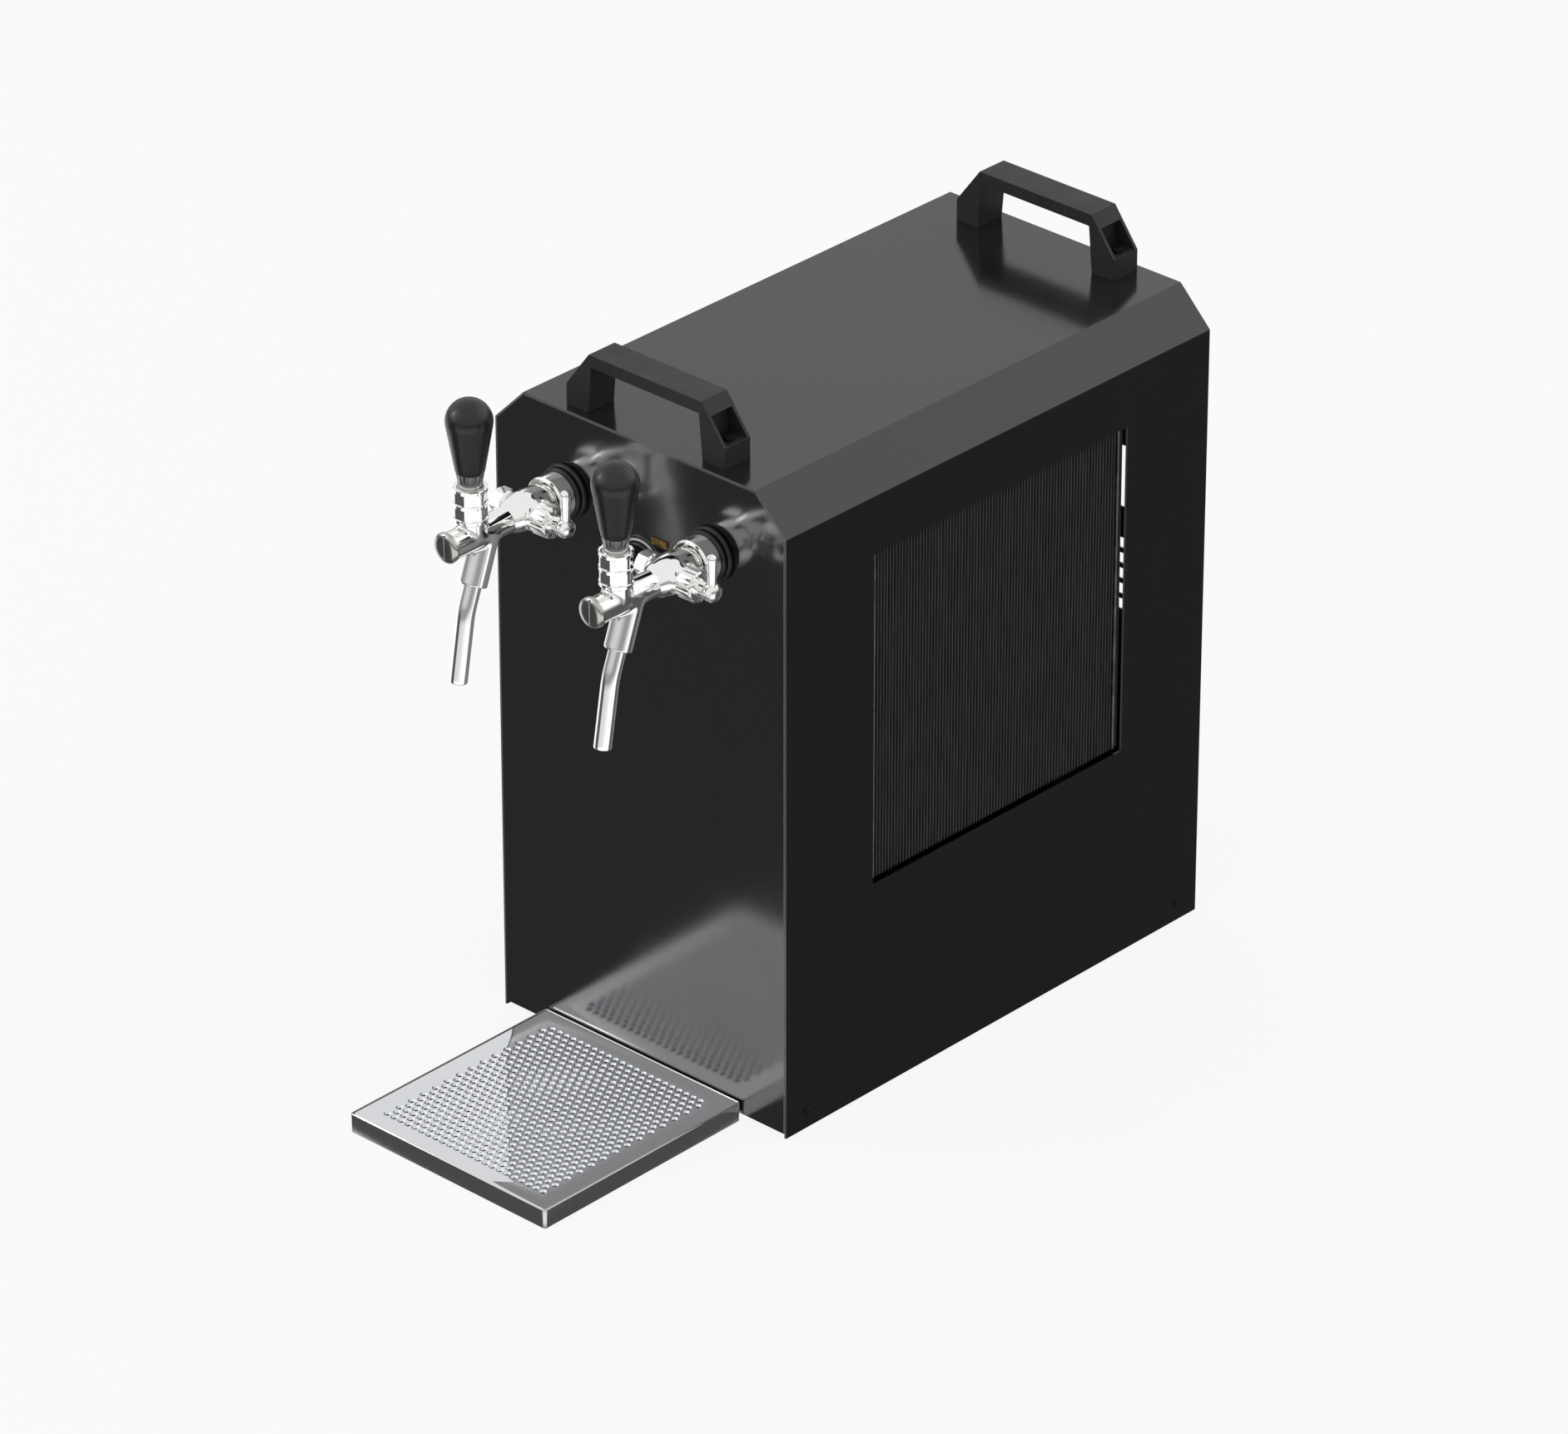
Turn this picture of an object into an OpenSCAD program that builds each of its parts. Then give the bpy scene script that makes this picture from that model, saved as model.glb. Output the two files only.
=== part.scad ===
// Two-tap dry beer cooler: a folded steel case with a refrigeration set and an
// aluminium flash-cooling block inside, two flow-control taps and a drip tray.
// Millimetres. +Z is up, the taps face -Y, the table is z = 0.

/* [Case] */
// Width of the case, outside
case_w = 255; // [250:1:290]
// Depth of the case, front face to back face
case_d = 408; // [400:1:460]
// Height of the case's side panels
case_h = 464; // [450:1:520]
// Height of the side panels' lower edge above the table
edge_lift = 2; // [1:0.5:5]
// Leg of the 45 degree chamfer along each long top edge
chamfer = 26; // [15:1:34]
// Thickness of the case's sheet steel
sheet_t = 1.5; // [1:0.1:2]
// Gap between neighbouring sheets
seam = 0.3; // [0.2:0.05:0.4]
// Height of the front and back panels' lower edges above the table
panel_lift = 5; // [4:0.5:8]

/* [Side window] */
// Distance of the window from the front face
win_y = 82.5; // [78:0.5:90]
// Length of the window along the case
win_l = 244.5; // [230:0.5:248]
// Height of the window's lower edge above the panel's edge
win_z = 155.5; // [150:0.5:165]
// Height of the window
win_h = 241; // [225:1:250]

/* [Condenser] */
// Number of cooling fins
fin_n = 81; // [40:1:90]
// Thickness of one fin
fin_t = 0.6; // [0.4:0.1:1]
// Depth of the fin pack, inwards
fin_depth = 26; // [20:1:30]
// Number of tube passes
pass_n = 10; // [4:2:12]
// Outer radius of the condenser tube
tube_r = 3.5; // [2.5:0.25:4]

/* [Handles] */
// Length of a carrying handle across the case
handle_l = 138; // [120:1:150]
// Thickness of a handle along the case
handle_t = 24; // [18:1:28]
// Height of a handle
handle_h = 42; // [38:1:50]
// Height of the upright foot of a handle
handle_foot = 15.5; // [12:0.5:18]
// Sideways run of the sloped shoulder
handle_slope = 20; // [16:1:24]
// Width of the hand opening at the top
grip_w = 94; // [84:1:96]
// Wall left around a screw pocket
pocket_wall = 2.5; // [2:0.5:3.5]

/* [Taps] */
// Distance of each tap from the middle of the case
tap_x = 63.8; // [60:0.2:70]
// Height of the taps' axis above the panel's edge
tap_h = 406.5; // [395:0.5:415]
// Radius of the tap's front tube
barrel_r = 9.5; // [9:0.1:10.5]
// Distance of the lever's axis in front of the panel
lever_u = 87; // [84:0.5:90]
// Distance of the flow control's axis in front of the panel
flow_u = 38.5; // [36:0.5:42]
// Height of the lever's pivot above the tap's axis
pivot_h = 34.5; // [34:0.25:36]
// Radius of the lever's pivot ball
ball_r = 8.8; // [8:0.1:9]
// Radius of the knob's round top
knob_r = 15.5; // [12:0.5:18]
// Height of the round top's centre above the tap's axis
knob_h = 81.7; // [76:0.5:95]
// Outer radius of the spout tube
spout_r = 5.9; // [5:0.1:6.5]
// Bore radius of the spout tube
spout_bore = 4.4; // [3.5:0.1:4.6]

/* [Drip tray] */
// Width of the drip tray
tray_w = 177; // [150:1:200]
// Depth of the drip tray
tray_d = 182; // [150:1:200]
// Height of the drip tray
tray_h = 14; // [12:0.5:15]
// Thickness of the tray's sheet
tray_t = 1.2; // [0.8:0.1:1.5]
// Spacing of the grid's holes
hole_pitch = 6.4; // [6:0.1:12]
// Radius of one grid hole
hole_r = 1.9; // [1.2:0.1:2.1]
// Width of the plain border around the holes
grid_border = 14; // [10:1:24]

/* [Thermostat] */
// Height of the dial's centre above the panel's edge
dial_h = 377.3; // [365:0.1:385]
// Distance of the dial's centre from the middle of the case
dial_x = 2.5; // [-4:0.1:4]
// Radius of the black bezel
bezel_r = 20.2; // [19:0.1:22]
// Radius of the turning knob's skirt
dial_knob_r = 15.6; // [12:0.2:15.8]

/* [Cooling set] */
// Radius of the compressor's pot
pot_r = 64; // [55:1:68]
// Height of the compressor's pot
pot_h = 150; // [130:1:170]
// Radius of the fan wheel
fan_r = 82; // [70:1:84]
// Number of fan blades
blade_n = 5; // [3:1:7]
// Gap between the insulated cooling block and the fan motor
jacket_gap_x = 18.9; // [16:0.1:40]
// Gap between the insulated cooling block and the compressor
jacket_gap_y = 28.2; // [10:0.1:60]
// Height of the insulated cooling block
jacket_h = 330; // [280:1:336]

/* [Beer inlets] */
// Radius of the beer hose that pushes into an inlet
hose_r = 4.76; // [4:0.01:5]
// Depth of an inlet's socket
inlet_depth = 16; // [12:0.5:20]

/* [Hidden] */

// Smoothness of small and large rounds
fine = 48;
smooth = 96;
// Overrun of a cut past the face that it opens
cut = 1;
// Gap of a running fit, and of parts that move past each other
run = 0.08;
clear = 0.3;

// Case faces and edges
top_z = edge_lift + case_h;
case_x = case_w / 2;
inner_x = case_x - sheet_t;
panel_x = inner_x - seam;
tap_z = edge_lift + tap_h;
win_z0 = edge_lift + win_z;
win_z1 = win_z0 + win_h;
win_y1 = win_y + win_l;
// Base pan
pan_z = 10;
pan_rim = 22;
pan_floor = pan_z + sheet_t;
foot_r = 11;
foot_tip_r = 9.5;
foot_inset_x = 32;
foot_inset_y = 38;
// Slots for the drip tray's hooks
hook_x = 58;
hook_w = 24;
hook_l = 12;
hook_z0 = pan_floor + clear;
hook_slot_z1 = hook_z0 + tray_t + clear;
// Folded edge of the front and back panels
flange_d = 12;
flange_z = pan_z + pan_rim + seam;

// Points of the case's outline, set inwards by a distance, from a lower edge
function case_outline(inset, low) = let(
    x = case_x - inset,
    t = top_z - inset,
    c = chamfer - inset * (2 - sqrt(2)))
    [[-x, low], [-x, t - c], [-x + c, t], [x - c, t], [x, t - c], [x, low]];

// Extrusions of a flat outline along the case's own axes
module along_y(y0, y1) { translate([0, y1, 0]) rotate([90, 0, 0]) linear_extrude(y1 - y0) children(); }
module along_x(x0, x1) { translate([x0, 0, 0]) rotate([90, 0, 90]) linear_extrude(x1 - x0) children(); }
// Round pieces whose axis runs along Y or X
module rod_y(r, y0, y1, sides = fine) {
    translate([0, y1, 0]) rotate([90, 0, 0]) cylinder(r = r, h = y1 - y0, $fn = sides);
}
module rod_x(r, x0, x1, sides = fine) {
    translate([x0, 0, 0]) rotate([0, 90, 0]) cylinder(r = r, h = x1 - x0, $fn = sides);
}
module box(low, high) { translate(low) cube(high - low); }
// A profile of [radius, distance in front] points, turned about the forward axis
module turn_forward(points, sides = fine) { rotate([90, 0, 0]) rotate_extrude($fn = sides) polygon(points); }
// A slot with round ends, drawn flat
module slot(length, width) {
    square([length - width, width], center = true);
    for (s = [-1, 1]) translate([s * (length - width) / 2, 0]) circle(r = width / 2, $fn = fine);
}

// Everything is drawn with y = 0 at the case's front face, then centred
tray_gap = 2;
inlet_reach = 17;
collet_gap = 1.5;
collet_flange_t = 2;
front_reach = tray_gap + tray_d;
back_reach = case_d + inlet_reach + collet_gap + collet_flange_t;
y_mid = (back_reach - front_reach) / 2;
module placed() { translate([0, -y_mid, 0]) children(); }

// Sweep of a round tube along a route with rounded corners
pipe_sides = 8;
bend_steps = 4;
function unit(v) = v / norm(v);
function corner(a, b, c, r) = let(
    u = unit(a - b),
    v = unit(c - b),
    angle = acos(u * v),
    turn = 180 - angle,
    centre = b + unit(u + v) * r / sin(angle / 2),
    reach = r / tan(angle / 2),
    d0 = b + u * reach - centre,
    d1 = b + v * reach - centre)
    [for (i = [0:bend_steps]) let(f = i / bend_steps)
        centre + (sin((1 - f) * turn) * d0 + sin(f * turn) * d1) / sin(turn)];
function rounded(route, r) = concat([route[0]],
    [for (i = [1:len(route) - 2]) each corner(route[i - 1], route[i], route[i + 1], r)],
    [route[len(route) - 1]]);
function heading(p, i) = i == 0 ? unit(p[1] - p[0])
    : i == len(p) - 1 ? unit(p[i] - p[i - 1])
    : unit(unit(p[i + 1] - p[i]) + unit(p[i] - p[i - 1]));
function flattened(n, t) = unit(n - (n * t) * t);
module pipe(route, r, bend_r) {
    p = rounded(route, bend_r);
    first = heading(p, 0);
    start = flattened(abs(first.z) < 0.9 ? [0, 0, 1] : [1, 0, 0], first);
    sides = [for (i = 0, n = start; i < len(p);
        i = i + 1, n = i < len(p) ? flattened(n, heading(p, i)) : n) n];
    points = [for (i = [0:len(p) - 1]) let(t = heading(p, i), n = sides[i], b = cross(t, n))
        for (k = [0:pipe_sides - 1]) let(a = k * 360 / pipe_sides)
            p[i] + r * (cos(a) * n + sin(a) * b)];
    m = pipe_sides;
    faces = concat(
        [for (i = [0:len(p) - 2]) for (k = [0:m - 1]) let(a = i * m + k, b = i * m + (k + 1) % m)
            each [[a, a + m, b], [b, a + m, b + m]]],
        [[for (k = [0:m - 1]) k]],
        [[for (k = [0:m - 1]) (len(p) - 1) * m + m - 1 - k]]);
    polyhedron(points, faces, convexity = 6);
}

// Folded steel pan that carries the cooling set and the rubber feet
module base_pan() placed() color("dimgray") difference() {
    x = panel_x;
    y0 = sheet_t + seam;
    y1 = case_d - sheet_t - seam;
    box([-x, y0, pan_z], [x, y1, pan_z + pan_rim]);
    box([-x + sheet_t, y0 + sheet_t, pan_floor], [x - sheet_t, y1 - sheet_t, pan_z + pan_rim + cut]);
    for (s = [-1, 1]) translate([s * hook_x, 0, 0])
        box([-hook_w / 2 - clear, y0 - cut, pan_floor], [hook_w / 2 + clear, y0 + sheet_t + cut, hook_slot_z1]);
    for (y = screw_ys) translate([0, y, screw_z]) rod_x(screw_r + run, -case_x, case_x);
}

// Four rubber feet under the pan
module rubber_feet() placed() color("black")
    for (x = [-case_x + foot_inset_x, case_x - foot_inset_x], y = [foot_inset_y, case_d - foot_inset_y])
        translate([x, y, 0]) cylinder(r1 = foot_tip_r, r2 = foot_r, h = pan_z, $fn = fine);

// Screws through the cover's lower edges into the pan
screw_r = 1.5;
screw_head_r = 2.8;
screw_head_t = 1.6;
screw_l = 9;
screw_inset = 20;
screw_ys = [screw_inset, case_d - screw_inset];
screw_rise = 5;
screw_z = pan_z + screw_rise;
cover_hole_r = 1.8;
module cover_screws() placed() color("#1c1c1b")
    for (s = [0, 1], y = screw_ys) mirror([s, 0, 0]) translate([case_x, y, screw_z]) difference() {
        union() {
            rotate([0, 90, 0]) cylinder(r1 = screw_head_r, r2 = screw_head_r - screw_head_t / 2, h = screw_head_t,
                $fn = fine);
            rod_x(screw_r, -screw_l, 0);
        }
        rod_x(screw_r / 2, screw_head_t / 3, screw_head_t + cut, 6);
    }

// Cover folded from one sheet: two sides, two chamfers and the top
vent_w = 62;
vent_t = 6;
vent_pitch_z = 13;
vent_cols = 3;
vent_gap = 16;
vent_n = 18;
handle_wall_b = 8;
handle_screw_x = handle_l / 2 - handle_wall_b;
handle_inset = 6;
handle_ys = [handle_inset + handle_t / 2, case_d - handle_inset - handle_t / 2];
handle_hole_r = 2.75;
module wrap_cover() placed() color("#4a4a47") difference() {
    along_y(0, case_d) difference() {
        polygon(case_outline(0, edge_lift));
        polygon(case_outline(sheet_t, edge_lift - cut));
    }
    along_x(inner_x - cut, case_x + cut) translate([win_y, win_z0]) square([win_l, win_h]);
    along_x(-case_x - cut, -inner_x + cut)
        for (c = [0:vent_cols - 1], i = [0:vent_n - 1])
            translate([win_y + win_l / 2 + (c - (vent_cols - 1) / 2) * (vent_w + vent_gap),
                win_z0 + win_h / 2 + (i - (vent_n - 1) / 2) * vent_pitch_z]) slot(vent_w, vent_t);
    for (y = screw_ys) translate([0, y, screw_z]) rod_x(cover_hole_r, -case_x - cut, case_x + cut);
    for (s = [-1, 1], y = handle_ys) translate([s * handle_screw_x, y, top_z - sheet_t - cut])
        cylinder(r = handle_hole_r, h = sheet_t + 2 * cut, $fn = fine);
}

// Flat panel with a folded edge that lies inside the cover
module folded_panel(face_y0, fold_y0, fold_y1) {
    along_y(face_y0, face_y0 + sheet_t) polygon(case_outline(sheet_t + seam, panel_lift));
    along_y(fold_y0, fold_y1) difference() {
        polygon(case_outline(sheet_t + seam, flange_z));
        polygon(case_outline(2 * sheet_t + seam, flange_z - cut));
    }
}
dial_z = edge_lift + dial_h;
lamp_dx = 15.9;
lamp_dz = 20.4;
lamp_x = dial_x + lamp_dx;
lamp_z = dial_z + lamp_dz;
lamp_body_w = 11.6;
lamp_body_h = 3.6;
shank_r = 8;
shank_l = 38;
shank_hole_r = 8.2;
spindle_r = 3;
spindle_hole_r = 5;
module front_panel() placed() color("#262523") difference() {
    folded_panel(0, 0, flange_d);
    for (s = [-1, 1]) translate([s * tap_x, 0, tap_z]) rod_y(shank_hole_r, -cut, sheet_t + cut);
    translate([dial_x, 0, dial_z]) rod_y(spindle_hole_r, -cut, sheet_t + cut);
    translate([lamp_x, 0, lamp_z]) box([-lamp_body_w / 2 - clear, -cut, -lamp_body_h / 2 - clear],
        [lamp_body_w / 2 + clear, sheet_t + cut, lamp_body_h / 2 + clear]);
    for (s = [-1, 1]) translate([s * hook_x, 0, 0])
        box([-hook_w / 2 - clear, -cut, pan_floor], [hook_w / 2 + clear, sheet_t + cut, hook_slot_z1]);
}

// Back panel with a hose window, air slots and the connections
back_y = case_d - sheet_t;
hose_win_inset = 20;
hose_win_w = 84;
hose_win_x0 = inner_x - hose_win_inset - hose_win_w;
hose_win_z = 285;
hose_win_h = 46;
rear_slot_n = 5;
rear_slot_pitch = 11.5;
rear_slot_t = 8;
rear_slot_z = 212;
inlet_inset = 34;
inlet_step = 36;
inlet_xs = [inlet_inset - inner_x, inlet_inset + inlet_step - inner_x];
inlet_z = 318;
socket_inset = 42;
rocker_step = 46;
socket_x = socket_inset - inner_x;
rocker_x = socket_x + rocker_step;
power_z = 238;
socket_w = 27;
socket_h = 20;
rocker_case_w = 22;
rocker_case_h = 17;
inlet_thread_r = 8;
inlet_thread_l = 22;
module back_panel() placed() color("#5a5a57") difference() {
    folded_panel(back_y, case_d - flange_d, case_d);
    box([hose_win_x0, back_y - cut, hose_win_z],
        [hose_win_x0 + hose_win_w, case_d + cut, hose_win_z + hose_win_h]);
    along_y(back_y - cut, case_d + cut) for (i = [0:rear_slot_n - 1])
        translate([hose_win_x0 + hose_win_w / 2, rear_slot_z + i * rear_slot_pitch]) slot(hose_win_w, rear_slot_t);
    for (x = inlet_xs) translate([x, 0, inlet_z]) rod_y(inlet_thread_r + clear, back_y - cut, case_d + cut);
    translate([socket_x, 0, power_z]) box([-socket_w / 2 - clear, back_y - cut, -socket_h / 2 - clear],
        [socket_w / 2 + clear, case_d + cut, socket_h / 2 + clear]);
    translate([rocker_x, 0, power_z]) box([-rocker_case_w / 2 - clear, back_y - cut, -rocker_case_h / 2 - clear],
        [rocker_case_w / 2 + clear, case_d + cut, rocker_case_h / 2 + clear]);
}

// Moulded carrying handle with hollow, open shoulders over its screws
bar_t = 8.8;
grip_draft = 3;
pocket_floor = handle_foot;
module handle(y0) translate([0, y0, top_z]) difference() {
    half = handle_l / 2;
    gap = grip_w / 2;
    top = handle_h - bar_t;
    along_y(0, handle_t) polygon([[-half, 0], [-half, handle_foot], [-half + handle_slope, handle_h],
        [half - handle_slope, handle_h], [half, handle_foot], [half, 0],
        [gap + grip_draft, 0], [gap, top], [-gap, top], [-gap - grip_draft, 0]]);
    for (s = [0, 1]) mirror([s, 0, 0]) {
        along_y(pocket_wall, handle_t - pocket_wall) polygon([
            [gap + grip_draft + pocket_wall, pocket_floor], [half + cut, pocket_floor],
            [half + cut, top], [gap + pocket_wall, top]]);
        translate([handle_screw_x, handle_t / 2, -cut])
            cylinder(r = handle_hole_r, h = handle_foot + 2 * cut, $fn = fine);
    }
}
module front_handle() placed() color("#2e2e2d") handle(handle_inset);
module rear_handle() placed() color("#2e2e2d") handle(case_d - handle_inset - handle_t);
// Screws that hold the handles, with their nuts under the top
m5_r = 2.5;
m5_head_r = 4.6;
m5_head_t = 3;
nut_r = 4.6;
nut_t = 4;
module handle_screws() placed() color("silver")
    for (s = [-1, 1], y = handle_ys) translate([s * handle_screw_x, y, top_z]) {
        difference() {
            union() {
                translate([0, 0, handle_foot]) cylinder(r = m5_head_r, h = m5_head_t, $fn = fine);
                translate([0, 0, -sheet_t - nut_t]) cylinder(r = m5_r, h = handle_foot + sheet_t + nut_t, $fn = fine);
            }
            translate([0, 0, handle_foot + m5_head_t / 3]) cylinder(r = m5_r / 2, h = m5_head_t, $fn = 6);
        }
        translate([0, 0, -sheet_t - nut_t]) difference() {
            cylinder(r = nut_r, h = nut_t, $fn = 6);
            translate([0, 0, -cut]) cylinder(r = m5_r + run, h = nut_t + 2 * cut, $fn = fine);
        }
    }

// Black-coated fin-and-tube condenser behind the side window
core_gap = 1;
core_x1 = inner_x - core_gap;
core_x0 = core_x1 - fin_depth;
core_front = 2;
core_y0 = win_y + core_front;
core_rear = 5;
core_y1 = win_y1 - core_rear;
core_drop = 3;
core_z0 = win_z0 + core_drop;
core_z1 = win_z1 + core_drop;
end_t = 1.5;
pass_pitch = (core_z1 - core_z0) / pass_n;
fin_pitch = (core_y1 - core_y0 - 2 * end_t) / (fin_n + 1);
core_x = (core_x0 + core_x1) / 2;
stub_l = 8;
function pass_z(i) = core_z0 + (i + 0.5) * pass_pitch;
module return_bend(side) rotate([90, 0, 90]) rotate([0, 0, side * -90])
    rotate_extrude(angle = 180, $fn = fine) translate([pass_pitch / 2, 0]) circle(r = tube_r, $fn = fine);
module condenser_core() placed() color("#2c2c2b") {
    for (i = [0:fin_n - 1]) let(y = core_y0 + end_t + (i + 1) * fin_pitch - fin_t / 2)
        box([core_x0, y, core_z0], [core_x1, y + fin_t, core_z1]);
    for (k = [0:pass_n - 1]) translate([core_x, 0, pass_z(k)])
        rod_y(tube_r, core_y0 - (k == 0 || k == pass_n - 1 ? stub_l : 0), core_y1);
    for (k = [0:pass_n - 2]) translate([core_x, k % 2 == 0 ? core_y1 : core_y0, pass_z(k) + pass_pitch / 2])
        return_bend(k % 2 == 0 ? 1 : -1);
}
module condenser_end_plates() placed() color("#a8a8a5") {
    for (y = [core_y0, core_y1 - end_t]) difference() {
        box([core_x0, y, core_z0], [core_x1, y + end_t, core_z1]);
        for (k = [0:pass_n - 1]) translate([core_x, 0, pass_z(k)]) rod_y(tube_r + run, y - cut, y + end_t + cut);
    }
}

// Fan shroud: a plate that carries the condenser, the ring round the fan and two legs
shroud_t = 4;
shroud_x1 = core_x0;
shroud_x0 = shroud_x1 - shroud_t;
fan_y = (core_y0 + core_y1) / 2;
fan_z = (core_z0 + core_z1) / 2;
ring_gap = 3;
ring_wall = 2;
ring_l = 26;
ring_x0 = shroud_x0 - ring_l;
leg_w = 30;
leg_foot = 18;
leg_foot_t = 2;
module fan_shroud() placed() color("#3a3a38") difference() {
    box([shroud_x0, core_y0, core_z0], [shroud_x1, core_y1, core_z1]);
    translate([0, fan_y, fan_z]) rod_x(fan_r + ring_gap, shroud_x0 - cut, shroud_x1 + cut, smooth);
}
module fan_ring() placed() color("#3a3a38") translate([0, fan_y, fan_z]) difference() {
    rod_x(fan_r + ring_gap + ring_wall, ring_x0, shroud_x0, smooth);
    rod_x(fan_r + ring_gap, ring_x0 - cut, shroud_x0 + cut, smooth);
}
module shroud_legs() placed() color("#3a3a38") for (y = [core_y0, core_y1 - leg_w]) {
    box([shroud_x0, y, pan_floor], [shroud_x1, y + leg_w, core_z0]);
    box([shroud_x0 - leg_foot, y, pan_floor], [shroud_x0 + cut, y + leg_w, pan_floor + leg_foot_t]);
}

// Fan wheel on its shaft
rotor_l = 22;
rotor_x1 = shroud_x0 - clear;
rotor_x0 = rotor_x1 - rotor_l;
hub_r = 26;
blade_t = 1.6;
blade_angle = 24;
blade_chord = 46;
shaft_r = 4;
shaft_in = 8;
motor_gap = 4;
motor_x1 = rotor_x0 - motor_gap;
motor_l = 36;
motor_r = 35;
arm_w = 10;
arm_t = 4;
arm_n = 4;
module fan_rotor() placed() color("#2b2b2b") translate([0, fan_y, fan_z]) {
    difference() {
        union() {
            rod_x(hub_r, rotor_x0, rotor_x1);
            for (k = [0:blade_n - 1]) rotate([k * 360 / blade_n, 0, 0]) intersection() {
                rod_x(fan_r, rotor_x0, rotor_x1, smooth);
                translate([(rotor_x0 + rotor_x1) / 2, 0, 0]) rotate([0, 0, blade_angle])
                    box([-blade_t / 2, -blade_chord / 2, hub_r - 2 * blade_t], [blade_t / 2, blade_chord / 2, fan_r + cut]);
            }
        }
        rod_x(hub_r - 2 * blade_t, rotor_x0 - cut, rotor_x1 - 2 * blade_t);
    }
    rod_x(shaft_r, motor_x1 - shaft_in, rotor_x1 - blade_t);
}

// Fan motor on four arms that reach the fan ring
module fan_motor() placed() color("#5b5b58") translate([0, fan_y, fan_z]) difference() {
    union() {
        rod_x(motor_r, motor_x1 - motor_l, motor_x1 - arm_t);
        rod_x(motor_r / 2, motor_x1 - arm_t - cut, motor_x1);
        for (k = [0:arm_n - 1]) rotate([45 + k * 360 / arm_n, 0, 0])
            box([motor_x1 - arm_t, -arm_w / 2, 0], [ring_x0, arm_w / 2, fan_r + ring_gap + ring_wall]);
    }
    rod_x(shaft_r + run, motor_x1 - shaft_in - clear, motor_x1 + cut);
}

// Compressor pot with its seam, base plate, connection box and pipe stubs
pot_back = 100;
pot_y = case_d - pot_back;
pot_side_gap = 18.5;
mount_h = 16;
plate_t = 3;
pot_z0 = pan_floor + mount_h + plate_t;
dome_h = 26;
dome_steps = 6;
seam_r = 3.5;
seam_h = 7;
pot_x = pot_side_gap + seam_r + pot_r - inner_x;
plate_x = 62;
plate_y = 54;
ear_inset = 12;
grommet_r = 11;
grommet_neck_r = 6.5;
stub_reach = 70;
stub_r = 4.5;
suction_dy = -22;
suction_dz = 110;
discharge_dy = 22;
discharge_dz = 85;
box_dx = 78;
function dome(r, h, base, up) = [for (i = [0:dome_steps]) let(a = 90 * i / dome_steps)
    up ? [r * cos(a), base + h * sin(a)] : [r * sin(a), base - h * cos(a)]];
module compressor() placed() color("#1d1d1d") translate([pot_x, pot_y, 0]) {
    difference() {
        union() {
            rotate_extrude($fn = smooth) polygon(concat(
                dome(pot_r, dome_h / 2, pot_z0 + dome_h / 2, false),
                dome(pot_r, dome_h, pot_z0 + pot_h - dome_h, true)));
            translate([0, 0, pot_z0 + pot_h / 2]) cylinder(r = pot_r + seam_r, h = seam_h, $fn = smooth);
            box([-plate_x, -plate_y, pot_z0 - plate_t], [plate_x, plate_y, pot_z0 + seam_r]);
            for (dy = [suction_dy, discharge_dy])
                translate([0, dy, pot_z0 + (dy == suction_dy ? suction_dz : discharge_dz)]) rod_x(stub_r, 0, stub_reach);
            box([0, suction_dy, pot_z0 + seam_h], [box_dx, discharge_dy, pot_z0 + suction_dz / 2]);
        }
        for (x = [-1, 1], y = [-1, 1]) translate([x * (plate_x - ear_inset), y * (plate_y - ear_inset), 0]) {
            translate([0, 0, pot_z0 - plate_t - cut]) cylinder(r = grommet_neck_r + run, h = plate_t + seam_r + 2 * cut, $fn = fine);
        }
    }
}
// Rubber grommets that snap into the compressor's base plate
module compressor_mounts() placed() color("black") translate([pot_x, pot_y, 0])
    for (x = [-1, 1], y = [-1, 1]) translate([x * (plate_x - ear_inset), y * (plate_y - ear_inset), pan_floor]) {
        cylinder(r = grommet_r, h = mount_h, $fn = fine);
        cylinder(r = grommet_neck_r, h = mount_h + plate_t, $fn = fine);
    }

// Foam jacket in two pieces around the aluminium cooling block
jacket_wall = 24;
jacket_x0 = -case_x + screw_l + clear;
jacket_x1 = motor_x1 - motor_l - jacket_gap_x;
jacket_y0 = flange_d + clear;
jacket_y1 = pot_y - pot_r - seam_r - jacket_gap_y;
jacket_l = jacket_y1 - jacket_y0;
jacket_z1 = pan_floor + jacket_h;
jacket_low = [jacket_x0, jacket_y0, pan_floor];
jacket_high = [jacket_x1, jacket_y1, jacket_z1];
jacket_walls = [jacket_wall, jacket_wall, jacket_wall];
module insulation_jacket() placed() color("#23282b") {
    difference() {
        box(jacket_low, [jacket_x1, jacket_y1, jacket_z1 - jacket_wall]);
        box(jacket_low + jacket_walls, [jacket_x1 - jacket_wall, jacket_y1 - jacket_wall, jacket_z1]);
    }
    box([jacket_x0, jacket_y0, jacket_z1 - jacket_wall], jacket_high);
}
module cooling_block() placed() color("#b9bab8")
    box(jacket_low + jacket_walls + [clear, clear, 0], jacket_high - jacket_walls - [clear, clear, clear]);

// Refrigerant lines: discharge, liquid line with its drier, capillary and suction
refrigerant_r = 3;
capillary_r = 1.5;
bend_r = 12;
discharge_reach = 30;
suction_reach = 18;
riser_y = 44;
liquid_y = 62;
drier_r = 10;
drier_clip = 0.3;
drier_x = jacket_x1 + drier_r + drier_clip;
drier_rise = 60;
drier_z0 = pan_floor + drier_rise;
drier_l = 76;
drier_neck_r = 4;
drier_neck = 8;
capillary_drop = 30;
capillary_run = 40;
capillary_z = drier_z0 - capillary_drop;
capillary_y = liquid_y + capillary_run;
suction_y = jacket_y1 - jacket_wall;
stub_x = pot_x + stub_reach;
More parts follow.
